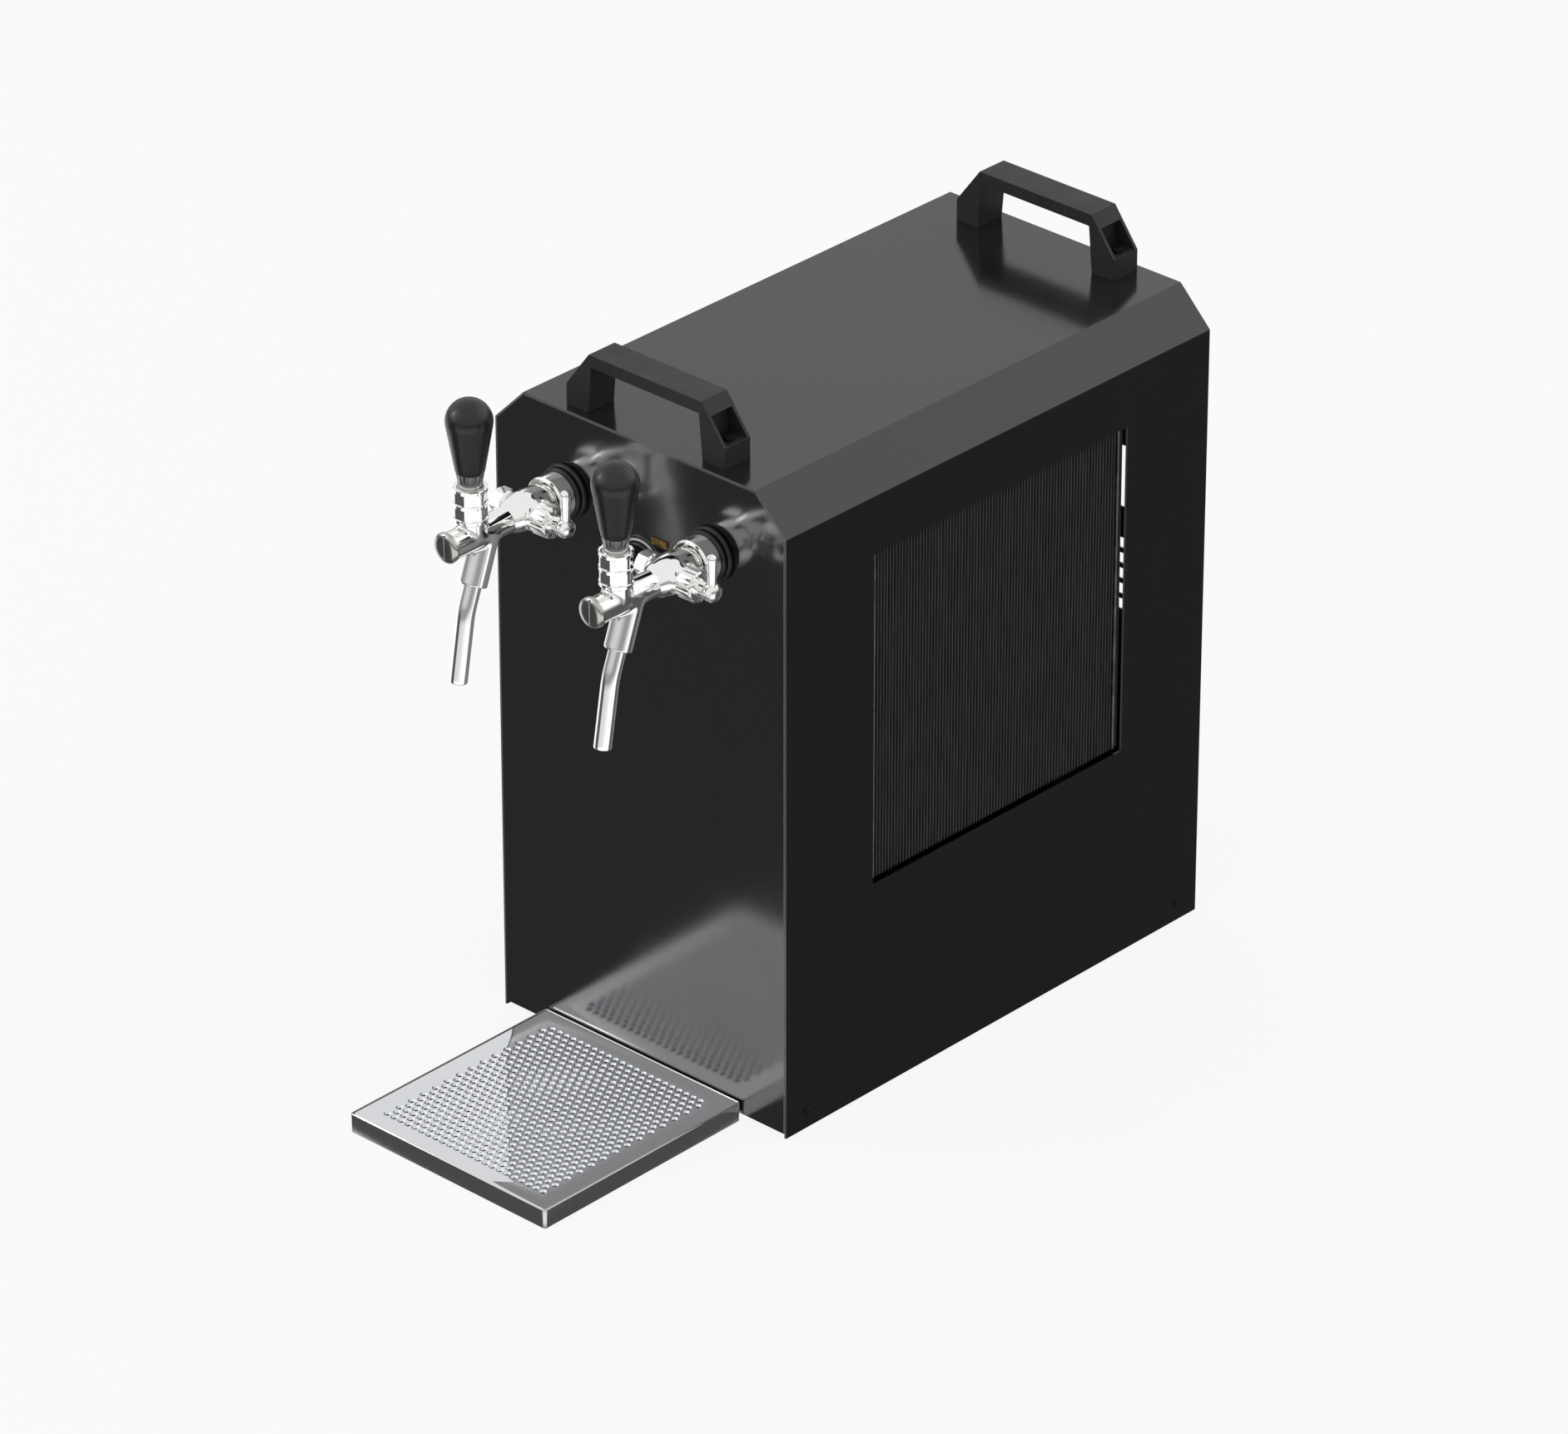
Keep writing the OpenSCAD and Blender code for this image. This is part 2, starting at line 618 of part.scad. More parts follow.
// The lines turn past whichever reaches further: the pot's stubs, or the jacket with its drier
aisle_x = max(stub_x + discharge_reach, drier_x + drier_r + drier_clip + refrigerant_r);
inner_aisle_x = max(stub_x + suction_reach, jacket_x1 + bend_r);
suction_z = pot_z0 + suction_dz;
discharge_z = pot_z0 + discharge_dz;
core_stub_y = core_y0 - stub_l;
module refrigerant_pipes() placed() color("#b5683c") {
    pipe([[stub_x, pot_y + discharge_dy, discharge_z], [aisle_x, pot_y + discharge_dy, discharge_z],
        [aisle_x, riser_y, discharge_z], [core_x, riser_y, discharge_z], [core_x, riser_y, pass_z(pass_n - 1)],
        [core_x, core_stub_y, pass_z(pass_n - 1)]], refrigerant_r, bend_r);
    pipe([[core_x, core_stub_y, pass_z(0)], [core_x, liquid_y, pass_z(0)], [drier_x, liquid_y, pass_z(0)],
        [drier_x, liquid_y, drier_z0 + drier_l]], refrigerant_r, bend_r);
    pipe([[drier_x, liquid_y, drier_z0], [drier_x, liquid_y, capillary_z], [drier_x, capillary_y, capillary_z],
        [jacket_x1, capillary_y, capillary_z]], capillary_r, bend_r / 2);
    pipe([[jacket_x1, suction_y, suction_z], [inner_aisle_x, suction_y, suction_z],
        [inner_aisle_x, pot_y + suction_dy, suction_z], [stub_x, pot_y + suction_dy, suction_z]], refrigerant_r, bend_r);
}
// Filter drier clipped to the jacket's side
module filter_drier() placed() color("#9c5a34") translate([drier_x, liquid_y, drier_z0]) {
    rotate_extrude($fn = fine) polygon([[0, 0], [drier_neck_r, 0], [drier_neck_r, drier_neck],
        [drier_r, 2 * drier_neck], [drier_r, drier_l - 2 * drier_neck], [drier_neck_r, drier_l - drier_neck],
        [drier_neck_r, drier_l], [0, drier_l]]);
}

// Beer lines: two from the inlets into the block, two from the block to the taps
beer_r = 4;
beer_bend = 14;
beer_in_y = case_d - inlet_thread_l;
beer_lead = 22;
beer_rise_y = beer_in_y - beer_lead;
beer_rise = 32;
beer_rise_z = jacket_z1 + beer_rise;
beer_down_share = 0.72;
beer_down_y = jacket_y0 + jacket_l * beer_down_share;
beer_down_step = 24;
left_down_y = 74;
right_down_y = 62;
right_down_x = -14;
module beer_pipes() placed() color("#d8d8d2") {
    for (i = [0, 1]) let(x = inlet_xs[i], y = beer_down_y + i * beer_down_step)
        pipe([[x, beer_in_y, inlet_z], [x, beer_rise_y, inlet_z], [x, beer_rise_y, beer_rise_z],
            [x, y, beer_rise_z], [x, y, jacket_z1]], beer_r, beer_bend);
    pipe([[-tap_x, shank_l, tap_z], [-tap_x, left_down_y, tap_z], [-tap_x, left_down_y, jacket_z1]], beer_r, beer_bend);
    pipe([[tap_x, shank_l, tap_z], [tap_x, right_down_y, tap_z], [right_down_x, right_down_y, tap_z],
        [right_down_x, right_down_y, jacket_z1]], beer_r, 9 / 10 * beer_bend);
}

// Thermostat: switch body behind the panel, bezel, scale ring and knob in front
thermostat_w = 30;
thermostat_l = 26;
bezel_t = 1.6;
ring_r0 = 16.2;
ring_r1 = 18;
ring_t = 0.6;
knob_u = bezel_t + clear;
knob_skirt_t = 2.4;
knob_grip_r = 11.4;
knob_l = 13;
flute_n = 12;
flute_r = 1.7;
edge_r = 1;
spindle_in = 12;
module thermostat_body() placed() color("#e3e2da") translate([dial_x, sheet_t, dial_z]) difference() {
    box([-thermostat_w / 2, 0, -thermostat_w / 2], [thermostat_w / 2, thermostat_l, thermostat_w / 2]);
    rod_y(spindle_r + run, -cut, spindle_in + clear);
}
module thermostat_bezel() placed() color("#161616") translate([dial_x, 0, dial_z]) turn_forward([
    [spindle_r + clear, 0], [bezel_r, 0], [bezel_r, bezel_t - edge_r], [bezel_r - edge_r, bezel_t],
    [spindle_r + clear, bezel_t]], smooth);
module dial_ring() placed() color("#e6e6e2") translate([dial_x, 0, dial_z]) turn_forward([
    [ring_r0, bezel_t], [ring_r1, bezel_t], [ring_r1, bezel_t + ring_t], [ring_r0, bezel_t + ring_t]], smooth);
module thermostat_knob() placed() color("#111111") translate([dial_x, 0, dial_z]) {
    difference() {
        turn_forward([[0, knob_u], [dial_knob_r, knob_u], [dial_knob_r, knob_u + knob_skirt_t - edge_r],
            [dial_knob_r - edge_r, knob_u + knob_skirt_t], [knob_grip_r, knob_u + knob_skirt_t],
            [knob_grip_r, knob_u + knob_l - edge_r], [knob_grip_r - edge_r, knob_u + knob_l], [0, knob_u + knob_l]], smooth);
        for (k = [1:flute_n]) rotate([0, k * 360 / flute_n, 0])
            translate([0, 0, knob_grip_r + flute_r / 2]) rod_y(flute_r, -knob_u - knob_l - cut, -knob_u - knob_skirt_t - clear);
        rotate([0, -180 / flute_n, 0]) box([-flute_r / 4, -knob_u - knob_l - cut, knob_grip_r / 3],
            [flute_r / 4, -knob_u - knob_l + edge_r / 2, knob_grip_r * 3 / 4]);
    }
    rod_y(spindle_r, -knob_u - edge_r, sheet_t + spindle_in);
}

// Amber running lamp beside the dial
lamp_w = 13;
lamp_h = 4.6;
lamp_t = 1.6;
lamp_body_l = 14;
module pilot_lamp() placed() color("#c9a24a") translate([lamp_x, 0, lamp_z]) {
    box([-lamp_w / 2, -lamp_t, -lamp_h / 2], [lamp_w / 2, 0, lamp_h / 2]);
    box([-lamp_body_w / 2, -cut, -lamp_body_h / 2], [lamp_body_w / 2, lamp_body_l, lamp_body_h / 2]);
}

// Mains inlet with three blades, for a lead that isn't part of the cooler
socket_l = 24;
socket_flange = 4;
socket_flange_t = 2.5;
socket_wall = 2.5;
socket_depth = 17;
blade_w = 2;
blade_h = 4;
blade_l = 10;
blade_dx = 7;
module power_inlet() placed() color("#1a1a1a") translate([socket_x, case_d, power_z]) {
    difference() {
        union() {
            box([-socket_w / 2, -socket_l, -socket_h / 2], [socket_w / 2, cut, socket_h / 2]);
            box([-socket_w / 2 - socket_flange, 0, -socket_h / 2 - socket_flange / 2],
                [socket_w / 2 + socket_flange, socket_flange_t, socket_h / 2 + socket_flange / 2]);
        }
        box([-socket_w / 2 + socket_wall, socket_flange_t - socket_depth, -socket_h / 2 + socket_wall],
            [socket_w / 2 - socket_wall, socket_flange_t + cut, socket_h / 2 - socket_wall]);
    }
    for (k = [-1:1]) translate([k * blade_dx, 0, k == 0 ? blade_h / 2 : -blade_h / 4])
        box([-blade_w / 2, socket_flange_t - socket_depth - cut, -blade_h / 2],
            [blade_w / 2, socket_flange_t - socket_depth + blade_l, blade_h / 2]);
}

// Rocker switch: case and rocker on its own trunnions
rocker_case_l = 20;
rocker_flange = 1.5;
rocker_flange_t = 2;
rocker_hole_w = 17.8;
rocker_hole_h = 14;
rocker_hole_l = 14;
rocker_w = 17;
rocker_back = 6;
rocker_nose = 5.6;
rocker_out = 9.5;
rocker_dip = 1.5;
rocker_tail_share = 0.6;
// The rocker rests with its lower half pressed in
rocker_angle = 8;
pin_r = 1.2;
pin_l = 1.1;
module switch_body() placed() color("#1c1c1c") translate([rocker_x, case_d, power_z]) difference() {
    union() {
        box([-rocker_case_w / 2, -rocker_case_l, -rocker_case_h / 2], [rocker_case_w / 2, cut, rocker_case_h / 2]);
        box([-rocker_case_w / 2 - rocker_flange, 0, -rocker_case_h / 2 - rocker_flange],
            [rocker_case_w / 2 + rocker_flange, rocker_flange_t, rocker_case_h / 2 + rocker_flange]);
    }
    box([-rocker_hole_w / 2, rocker_flange_t - rocker_hole_l, -rocker_hole_h / 2],
        [rocker_hole_w / 2, rocker_flange_t + cut, rocker_hole_h / 2]);
    translate([0, -rocker_back, 0]) rod_x(pin_r + run, -rocker_w / 2 - pin_l - clear, rocker_w / 2 + pin_l + clear);
}
module switch_rocker() placed() color("#0f0f0f") translate([rocker_x, case_d - rocker_back, power_z]) rotate([-rocker_angle, 0, 0]) {
    along_x(-rocker_w / 2, rocker_w / 2) polygon([[rocker_out, rocker_nose], [rocker_out - rocker_dip, 0],
        [rocker_out, -rocker_nose], [0, -rocker_nose], [-rocker_back / 2, -rocker_nose * rocker_tail_share],
        [-rocker_back / 2, rocker_nose * rocker_tail_share], [0, rocker_nose]]);
    rod_x(pin_r, -rocker_w / 2 - pin_l, rocker_w / 2 + pin_l);
}

// Push-fit beer inlets through the back panel, and their release collets
inlet_hex_r = 13;
inlet_hex_t = 5;
inlet_body_r = 10.5;
inlet_nut_t = 5;
hose_gap = 0.14;
inlet_bore = hose_r + hose_gap;
inlet_flow_r = 3;
collet_r = 6.95;
collet_seat = 8;
collet_flange_r = 8.6;
collet_bore = inlet_bore + run;
module beer_inlets() placed() color("#2a2a2a") for (x = inlet_xs) translate([x, case_d, inlet_z]) {
    difference() {
        union() {
            rod_y(inlet_thread_r, -inlet_thread_l, cut);
            rod_y(inlet_hex_r, 0, inlet_hex_t, 6);
            rod_y(inlet_body_r, inlet_hex_t - cut, inlet_reach);
        }
        rod_y(inlet_flow_r, -inlet_thread_l - cut, inlet_reach);
        rod_y(inlet_bore, inlet_reach - inlet_depth, inlet_reach);
        rod_y(collet_r + run, inlet_reach - collet_seat, inlet_reach + cut);
    }
    translate([0, -sheet_t - inlet_nut_t, 0]) difference() {
        rod_y(inlet_hex_r, 0, inlet_nut_t, 6);
        rod_y(inlet_thread_r + run, -cut, inlet_nut_t + cut);
    }
}
module collet(x) placed() color("#b8b8b4") translate([x, case_d + inlet_reach, inlet_z]) difference() {
    union() {
        rod_y(collet_r, collet_gap - collet_seat, collet_gap + cut / 2);
        rod_y(collet_flange_r, collet_gap, collet_gap + collet_flange_t);
    }
    rod_y(collet_bore, collet_gap - collet_seat - cut, collet_gap + collet_flange_t + cut);
}
module left_inlet_collet() collet(inlet_xs[0]);
module right_inlet_collet() collet(inlet_xs[1]);

// Drip tray that hooks into the front panel, and its perforated grid
tray_z0 = 0.5;
tray_z1 = tray_z0 + tray_h;
tray_y0 = -tray_gap - tray_d;
grid_t = 1;
grid_sink = 0.5;
grid_z1 = tray_z1 - grid_sink;
grid_z0 = grid_z1 - grid_t;
ledge_w = 3.5;
module drip_tray() placed() color("#4d4d4b") {
    x = tray_w / 2;
    difference() {
        box([-x, tray_y0, tray_z0], [x, -tray_gap, tray_z1]);
        box([-x + tray_t, tray_y0 + tray_t, grid_z0], [x - tray_t, -tray_gap - tray_t, tray_z1 + cut]);
        box([-x + tray_t + ledge_w, tray_y0 + tray_t + ledge_w, tray_z0 + tray_t],
            [x - tray_t - ledge_w, -tray_gap - tray_t - ledge_w, tray_z1 + cut]);
        box([-x + tray_t, tray_y0 + tray_t, tray_z0 + tray_t], [x - tray_t, -tray_gap - tray_t, grid_z0 - tray_t]);
    }
    for (s = [-1, 1]) translate([s * hook_x, 0, 0])
        box([-hook_w / 2, -tray_gap - tray_t / 2, hook_z0], [hook_w / 2, hook_l, hook_z0 + tray_t]);
}
module drip_grid() placed() color("#c9c9c7") {
    x = tray_w / 2 - tray_t - clear;
    y0 = tray_y0 + tray_t + clear;
    y1 = -tray_gap - tray_t - clear;
    row_pitch = hole_pitch * sqrt(3) / 2;
    cols = floor((2 * x - 2 * grid_border) / hole_pitch);
    rows = floor((y1 - y0 - 2 * grid_border) / row_pitch);
    translate([0, 0, grid_z0]) linear_extrude(grid_t) difference() {
        translate([-x, y0]) square([2 * x, y1 - y0]);
        for (j = [0:rows]) for (i = [0:cols - j % 2])
            translate([(i - (cols - j % 2) / 2) * hole_pitch, (y0 + y1) / 2 + (j - rows / 2) * row_pitch])
                circle(r = hole_r, $fn = 24);
    }
}

// Both taps are alike and lie on one axis height
module at_tap(side) placed() translate([side * tap_x, 0, tap_z]) children();
module at_both() for (s = [-1, 1]) at_tap(s) children();
collar_r = 19;
collar_t = 8;
collar_front_r = 17.5;
shank_front_r = 11;
shank_front_l = 15;
flow_bore = 4;
hex_nut_r = 14;
hex_nut_t = 7;
nut_gap = 0.5;
ring_nut_r = 16;
ring_nut_l = 13;
ring_nut_edge = 1.2;
tail_r = 9;
tail_flange_r = 10.9;
tail_flange_t = 3;
tail_end = shank_front_l + run;
nut_front = collar_t + ring_nut_l;
// Threaded shank with a front shoulder
module tap_shanks() at_both() color("#c2c2c0") difference() {
    union() {
        rod_y(shank_front_r, -shank_front_l, 0);
        rod_y(shank_r, -cut, shank_l);
    }
    rod_y(flow_bore, -shank_front_l - cut, shank_l + cut);
}
module shank_nuts() at_both() color("#b4b4b2") translate([0, sheet_t, 0]) difference() {
    rod_y(hex_nut_r, 0, hex_nut_t, 6);
    rod_y(shank_r + run, -cut, hex_nut_t + cut);
}
// Black collar between panel and coupling nut: two rounded ribs, the front one smaller
rib_bulge = 1.9;
rib_steps = 8;
function rib(r, u0, u1) = [for (i = [0:rib_steps]) let(a = 180 * i / rib_steps - 90)
    [r - rib_bulge * (1 - cos(a)), (u0 + u1) / 2 + (u1 - u0) / 2 * sin(a)]];
module tap_collars() at_both() color("#141414") turn_forward(concat([[shank_front_r + run, 0]],
    rib(collar_r, 0, collar_t / 2), rib(collar_front_r, collar_t / 2 + run, collar_t),
    [[shank_front_r + run, collar_t]]), smooth);
// Round coupling nut that pulls the tap onto its shank
module coupling_nuts() at_both() color("#dcdcda") turn_forward([[shank_front_r + run, collar_t],
    [ring_nut_r - ring_nut_edge, collar_t], [ring_nut_r, collar_t + ring_nut_edge],
    [ring_nut_r, nut_front - ring_nut_edge], [ring_nut_r - ring_nut_edge, nut_front], [tail_r + run, nut_front],
    [tail_r + run, tail_end + tail_flange_t + run], [shank_front_r + run, tail_end + tail_flange_t + run]], smooth);

// Tap body: tail, swollen valve chamber, front tube, lever neck, branch and spout sleeve
shoulder_u = 24;
shoulder_r = 12.5;
bulge_r = 14.4;
bulge_end_u = 52;
bulge_end_r = 11.5;
cone_u = 57;
barrel_nose = 21;
barrel_l = lever_u + barrel_nose;
bulge_steps = 10;
chamber_r = 9.5;
chamber_u0 = 27;
bore_r = 6.5;
neck_r = 9.3;
neck_h = 12;
neck_bore = 8.1;
slot_w = 4.6;
slot_low = 3;
slot_low_reach = 9.9;
slot_high_reach = 8.1;
branch_r = 10.4;
branch_l = 14.6;
branch_bore = 7;
blind_l = 14.6;
blind_r = 9.6;
sleeve_r = 9.3;
sleeve_u = 73.4;
sleeve_l = 37;
sleeve_angle = 20.4;
sleeve_seat = 15;
spout_gap = 0.05;
function bulge_profile() = [for (i = [0:bulge_steps]) let(f = i / bulge_steps,
    end_r = shoulder_r + (bulge_end_r - shoulder_r) * f)
    [end_r + (bulge_r - shoulder_r) * sin(180 * f), shoulder_u + (bulge_end_u - shoulder_u) * f]];
module at_sleeve() translate([0, -sleeve_u, 0]) rotate([180 - sleeve_angle, 0, 0]) children();
module tap_body(side) at_tap(side) color("#d9d9d7") difference() {
    union() {
        turn_forward(concat([[0, tail_end], [tail_flange_r, tail_end], [tail_flange_r, tail_end + tail_flange_t],
            [tail_r, tail_end + tail_flange_t], [tail_r, shoulder_u]], bulge_profile(),
            [[barrel_r, cone_u], [barrel_r, barrel_l], [0, barrel_l]]), smooth);
        translate([0, -lever_u, 0]) cylinder(r = neck_r, h = neck_h, $fn = smooth);
        translate([0, -flow_u, 0]) {
            rod_x(branch_r, 0, branch_l, smooth);
            rod_x(blind_r, -blind_l, 0, smooth);
        }
        at_sleeve() cylinder(r = sleeve_r, h = sleeve_l, $fn = smooth);
    }
    rod_y(flow_bore, -chamber_u0 - cut, -tail_end + cut);
    rod_y(chamber_r, -bulge_end_u, -chamber_u0);
    rod_y(bore_r, -barrel_l - cut, -bulge_end_u + cut);
    translate([0, -flow_u, 0]) rod_x(branch_bore, -blind_l - cut, branch_l + cut);
    translate([0, -lever_u, barrel_r]) cylinder(r = neck_bore, h = neck_h, $fn = smooth);
    along_x(-slot_w / 2, slot_w / 2) polygon([[-lever_u - slot_low_reach, slot_low], [-lever_u + slot_low_reach, slot_low],
        [-lever_u + slot_high_reach, barrel_r + edge_r], [-lever_u - slot_high_reach, barrel_r + edge_r]]);
    at_sleeve() {
        cylinder(r = spout_bore, h = sleeve_l, $fn = fine);
        translate([0, 0, sleeve_seat]) cylinder(r = spout_r + spout_gap, h = sleeve_l, $fn = fine);
    }
}
module left_tap_body() tap_body(-1);
module right_tap_body() tap_body(1);

// Slotted, domed plug that closes the front of the barrel
plug_r = 10.5;
plug_t = 4;
plug_in = 4;
plug_slot_w = 1.6;
plug_slot_d = 1.2;
dome_r_share = 0.86;
module front_plugs() at_both() color("#d9d9d7") difference() {
    turn_forward([[0, barrel_l - plug_in], [bore_r - run, barrel_l - plug_in], [bore_r - run, barrel_l], [plug_r, barrel_l],
        [plug_r, barrel_l + plug_t / 3], [plug_r * dome_r_share, barrel_l + plug_t * 2 / 3],
        [plug_r / 2, barrel_l + plug_t * 11 / 12], [0, barrel_l + plug_t]], smooth);
    box([-plug_slot_w / 2, -barrel_l - plug_t - cut, -plug_r], [plug_slot_w / 2, -barrel_l - plug_t + plug_slot_d, plug_r]);
}
// Hexagon plug on the branch's blind side
blind_hex_r = 9.4;
blind_hex_l = 9;
blind_in = 6;
module blind_plugs() at_both() color("#d2d2d0") translate([-blind_l, -flow_u, 0]) {
    intersection() {
        rod_x(blind_hex_r, -blind_hex_l, 0, 6);
        rotate([0, -90, 0]) cylinder(r1 = blind_hex_r, r2 = blind_hex_r - edge_r, h = blind_hex_l, $fn = smooth);
    }
    rod_x(branch_bore - run, -cut, blind_in);
}
// Gland nut of the flow control, with its nose
gland_r = 11;
gland_l = 12.4;
gland_nose_r = 6.2;
gland_nose_l = 6;
gland_in = 8;
spindle_bore = 3.08;
module flow_glands() at_both() color("#d2d2d0") translate([branch_l, -flow_u, 0]) difference() {
    union() {
        rod_x(gland_r, 0, gland_l - edge_r, smooth);
        rod_x(gland_r - edge_r, gland_l - edge_r - cut, gland_l, smooth);
        rod_x(gland_nose_r, 0, gland_l + gland_nose_l, smooth);
        rod_x(branch_bore - run, -gland_in, cut, smooth);
    }
    rod_x(spindle_bore, -gland_in - cut, gland_l + gland_nose_l + cut);
}
// Flow control: cone in the chamber, spindle, hub and the small upright lever
cone_r = 5.4;
cone_l = 8;
flow_hub_r = 6.6;
flow_hub_l = 8;
flow_tip_r = 3.6;
flow_stem_r = 2.5;
flow_lever_h = 27;
flow_x = branch_l + gland_l + gland_nose_l + clear;
cone_x = branch_l - gland_in - clear;
module flow_spindle(side) at_tap(side) color("#dcdcda") translate([0, -flow_u, 0]) {
    rod_x(spindle_r, cone_x - cone_l, flow_x + cut);
    translate([cone_x - cone_l, 0, 0]) rotate([0, 90, 0]) cylinder(r1 = spindle_r, r2 = cone_r, h = cone_l, $fn = fine);
    translate([flow_x, 0, 0]) rotate([0, 90, 0]) rotate_extrude($fn = fine) polygon([[0, 0],
        [flow_hub_r - edge_r, 0], [flow_hub_r, edge_r], [flow_hub_r, flow_hub_l * 0.6],
        [flow_hub_r * 0.8, flow_hub_l * 0.85], [flow_hub_r * 0.4, flow_hub_l], [0, flow_hub_l]]);
    translate([flow_x + flow_hub_l / 2 - edge_r, 0, 0]) {
        cylinder(r1 = flow_stem_r, r2 = flow_tip_r, h = flow_lever_h - flow_tip_r, $fn = fine);
        translate([0, 0, flow_lever_h - flow_tip_r]) sphere(r = flow_tip_r, $fn = fine);
    }
}
module left_flow_spindle() flow_spindle(-1);
module right_flow_spindle() flow_spindle(1);

// Plunger: piston, waist and guide, with a slot for the lever's tip
piston_u0 = 58;
piston_u1 = 67;
piston_r = bore_r - run;
groove_t = 2;
rod_r = 4.6;
plunger_guide_l = 4;
plunger_u1 = 97;
tip_r = 2.2;
tip_gap = 0.4;
tip_z = 2;
module plunger(side) at_tap(side) color("#c8b06a") difference() {
    turn_forward([[0, piston_u0 - groove_t], [spindle_r, piston_u0 - groove_t], [piston_r - edge_r, piston_u0],
        [piston_r, piston_u0 + edge_r], [piston_r, (piston_u0 + piston_u1 - groove_t) / 2],
        [rod_r, (piston_u0 + piston_u1 - groove_t) / 2], [rod_r, (piston_u0 + piston_u1 + groove_t) / 2],
        [piston_r, (piston_u0 + piston_u1 + groove_t) / 2], [piston_r, piston_u1], [rod_r, piston_u1],
        [rod_r, plunger_u1 - plunger_guide_l], [piston_r, plunger_u1 - plunger_guide_l], [piston_r, plunger_u1], [0, plunger_u1]]);
    translate([0, -lever_u, tip_z - tip_r - tip_gap])
        box([-slot_w / 2, -tip_r - tip_gap, 0], [slot_w / 2, tip_r + tip_gap, bore_r + tip_r]);
}
module left_plunger() plunger(-1);
module right_plunger() plunger(1);

// Collar nut over the lever's ball: three rings with hexagon flats between them
lever_collar_r = 11.2;
lever_collar_h = 24;
lever_ring_h = 3;
lever_flat_r = 11.5;
lever_flat_round = 10.8;
socket_r = ball_r + run;
throat_r = 8.3;
throat_top_r = 4.6;
throat_top = 5;
collar_z1 = neck_h + lever_collar_h;
module lever_collars() at_both() color("#d9d9d7") translate([0, -lever_u, 0]) difference() {
    union() {
        for (z = [neck_h, neck_h + lever_collar_h / 2 - lever_ring_h / 2, collar_z1 - lever_ring_h])
            translate([0, 0, z]) cylinder(r = lever_collar_r, h = lever_ring_h, $fn = smooth);
        intersection() {
            translate([0, 0, neck_h]) cylinder(r = lever_flat_r, h = lever_collar_h, $fn = 6);
            translate([0, 0, neck_h]) cylinder(r = lever_flat_round, h = lever_collar_h, $fn = smooth);
        }
    }
    translate([0, 0, neck_h - cut]) cylinder(r = throat_r, h = cut + edge_r, $fn = fine);
    translate([0, 0, neck_h]) cylinder(r1 = throat_r, r2 = throat_top_r, h = pivot_h - throat_top - neck_h, $fn = fine);
    translate([0, 0, pivot_h]) sphere(r = socket_r, $fn = smooth);
    translate([0, 0, collar_z1 - edge_r / 4]) cylinder(r = ball_r + run, h = cut, $fn = smooth);
}
// Lever: pivot ball, arm down to the plunger and threaded rod up into the knob
arm_r = 1.7;
ball_cut = 3.8;
stud_r = 3;
stud_h = 22;
ball_seat_r = sqrt(ball_r * ball_r - ball_cut * ball_cut);
module lever(side) at_tap(side) color("#cfcfcd") translate([0, -lever_u, 0]) {
    intersection() {
        translate([0, 0, pivot_h]) sphere(r = ball_r, $fn = smooth);
        translate([0, 0, pivot_h - 2 * ball_r]) cylinder(r = 2 * ball_r, h = 2 * ball_r + ball_cut, $fn = fine);
    }
    translate([0, 0, tip_z]) cylinder(r = arm_r, h = pivot_h - tip_z, $fn = fine);
    translate([0, 0, tip_z]) sphere(r = tip_r, $fn = fine);
    translate([0, 0, pivot_h]) cylinder(r = stud_r, h = stud_h, $fn = fine);
}
module left_lever() lever(-1);
module right_lever() lever(1);
// Knurled ferrule between ball and knob
ferrule_r = 9.3;
ferrule_z0 = pivot_h + ball_cut;
ferrule_top = 11.5;
ferrule_z1 = pivot_h + ferrule_top;
module ferrule(side) at_tap(side) color("#8c8c8a") translate([0, -lever_u, ferrule_z0]) difference() {
    cylinder(r1 = ball_seat_r, r2 = ferrule_r, h = ferrule_z1 - ferrule_z0, $fn = smooth);
    translate([0, 0, -cut]) cylinder(r = stud_r + run, h = ferrule_z1 - ferrule_z0 + 2 * cut, $fn = fine);
}
module left_ferrule() ferrule(-1);
module right_ferrule() ferrule(1);
// Black knob: a cone that runs tangent into a ball
knob_base_r = 9.5;
knob_drop = knob_h - ferrule_z1;
knob_tangent = atan2(knob_drop, knob_base_r) - acos(knob_r / norm([knob_drop, knob_base_r]));
module lever_knob(side) at_tap(side) color("#151515") translate([0, -lever_u, 0]) difference() {
    union() {
        translate([0, 0, ferrule_z1]) cylinder(r1 = knob_base_r, r2 = knob_r * cos(knob_tangent),
            h = knob_drop - knob_r * sin(knob_tangent), $fn = smooth);
        translate([0, 0, knob_h]) sphere(r = knob_r, $fn = smooth);
    }
    translate([0, 0, ferrule_z1 - cut]) cylinder(r = stud_r + run, h = pivot_h + stud_h - ferrule_z1 + cut + clear, $fn = fine);
}
module left_lever_knob() lever_knob(-1);
module right_lever_knob() lever_knob(1);

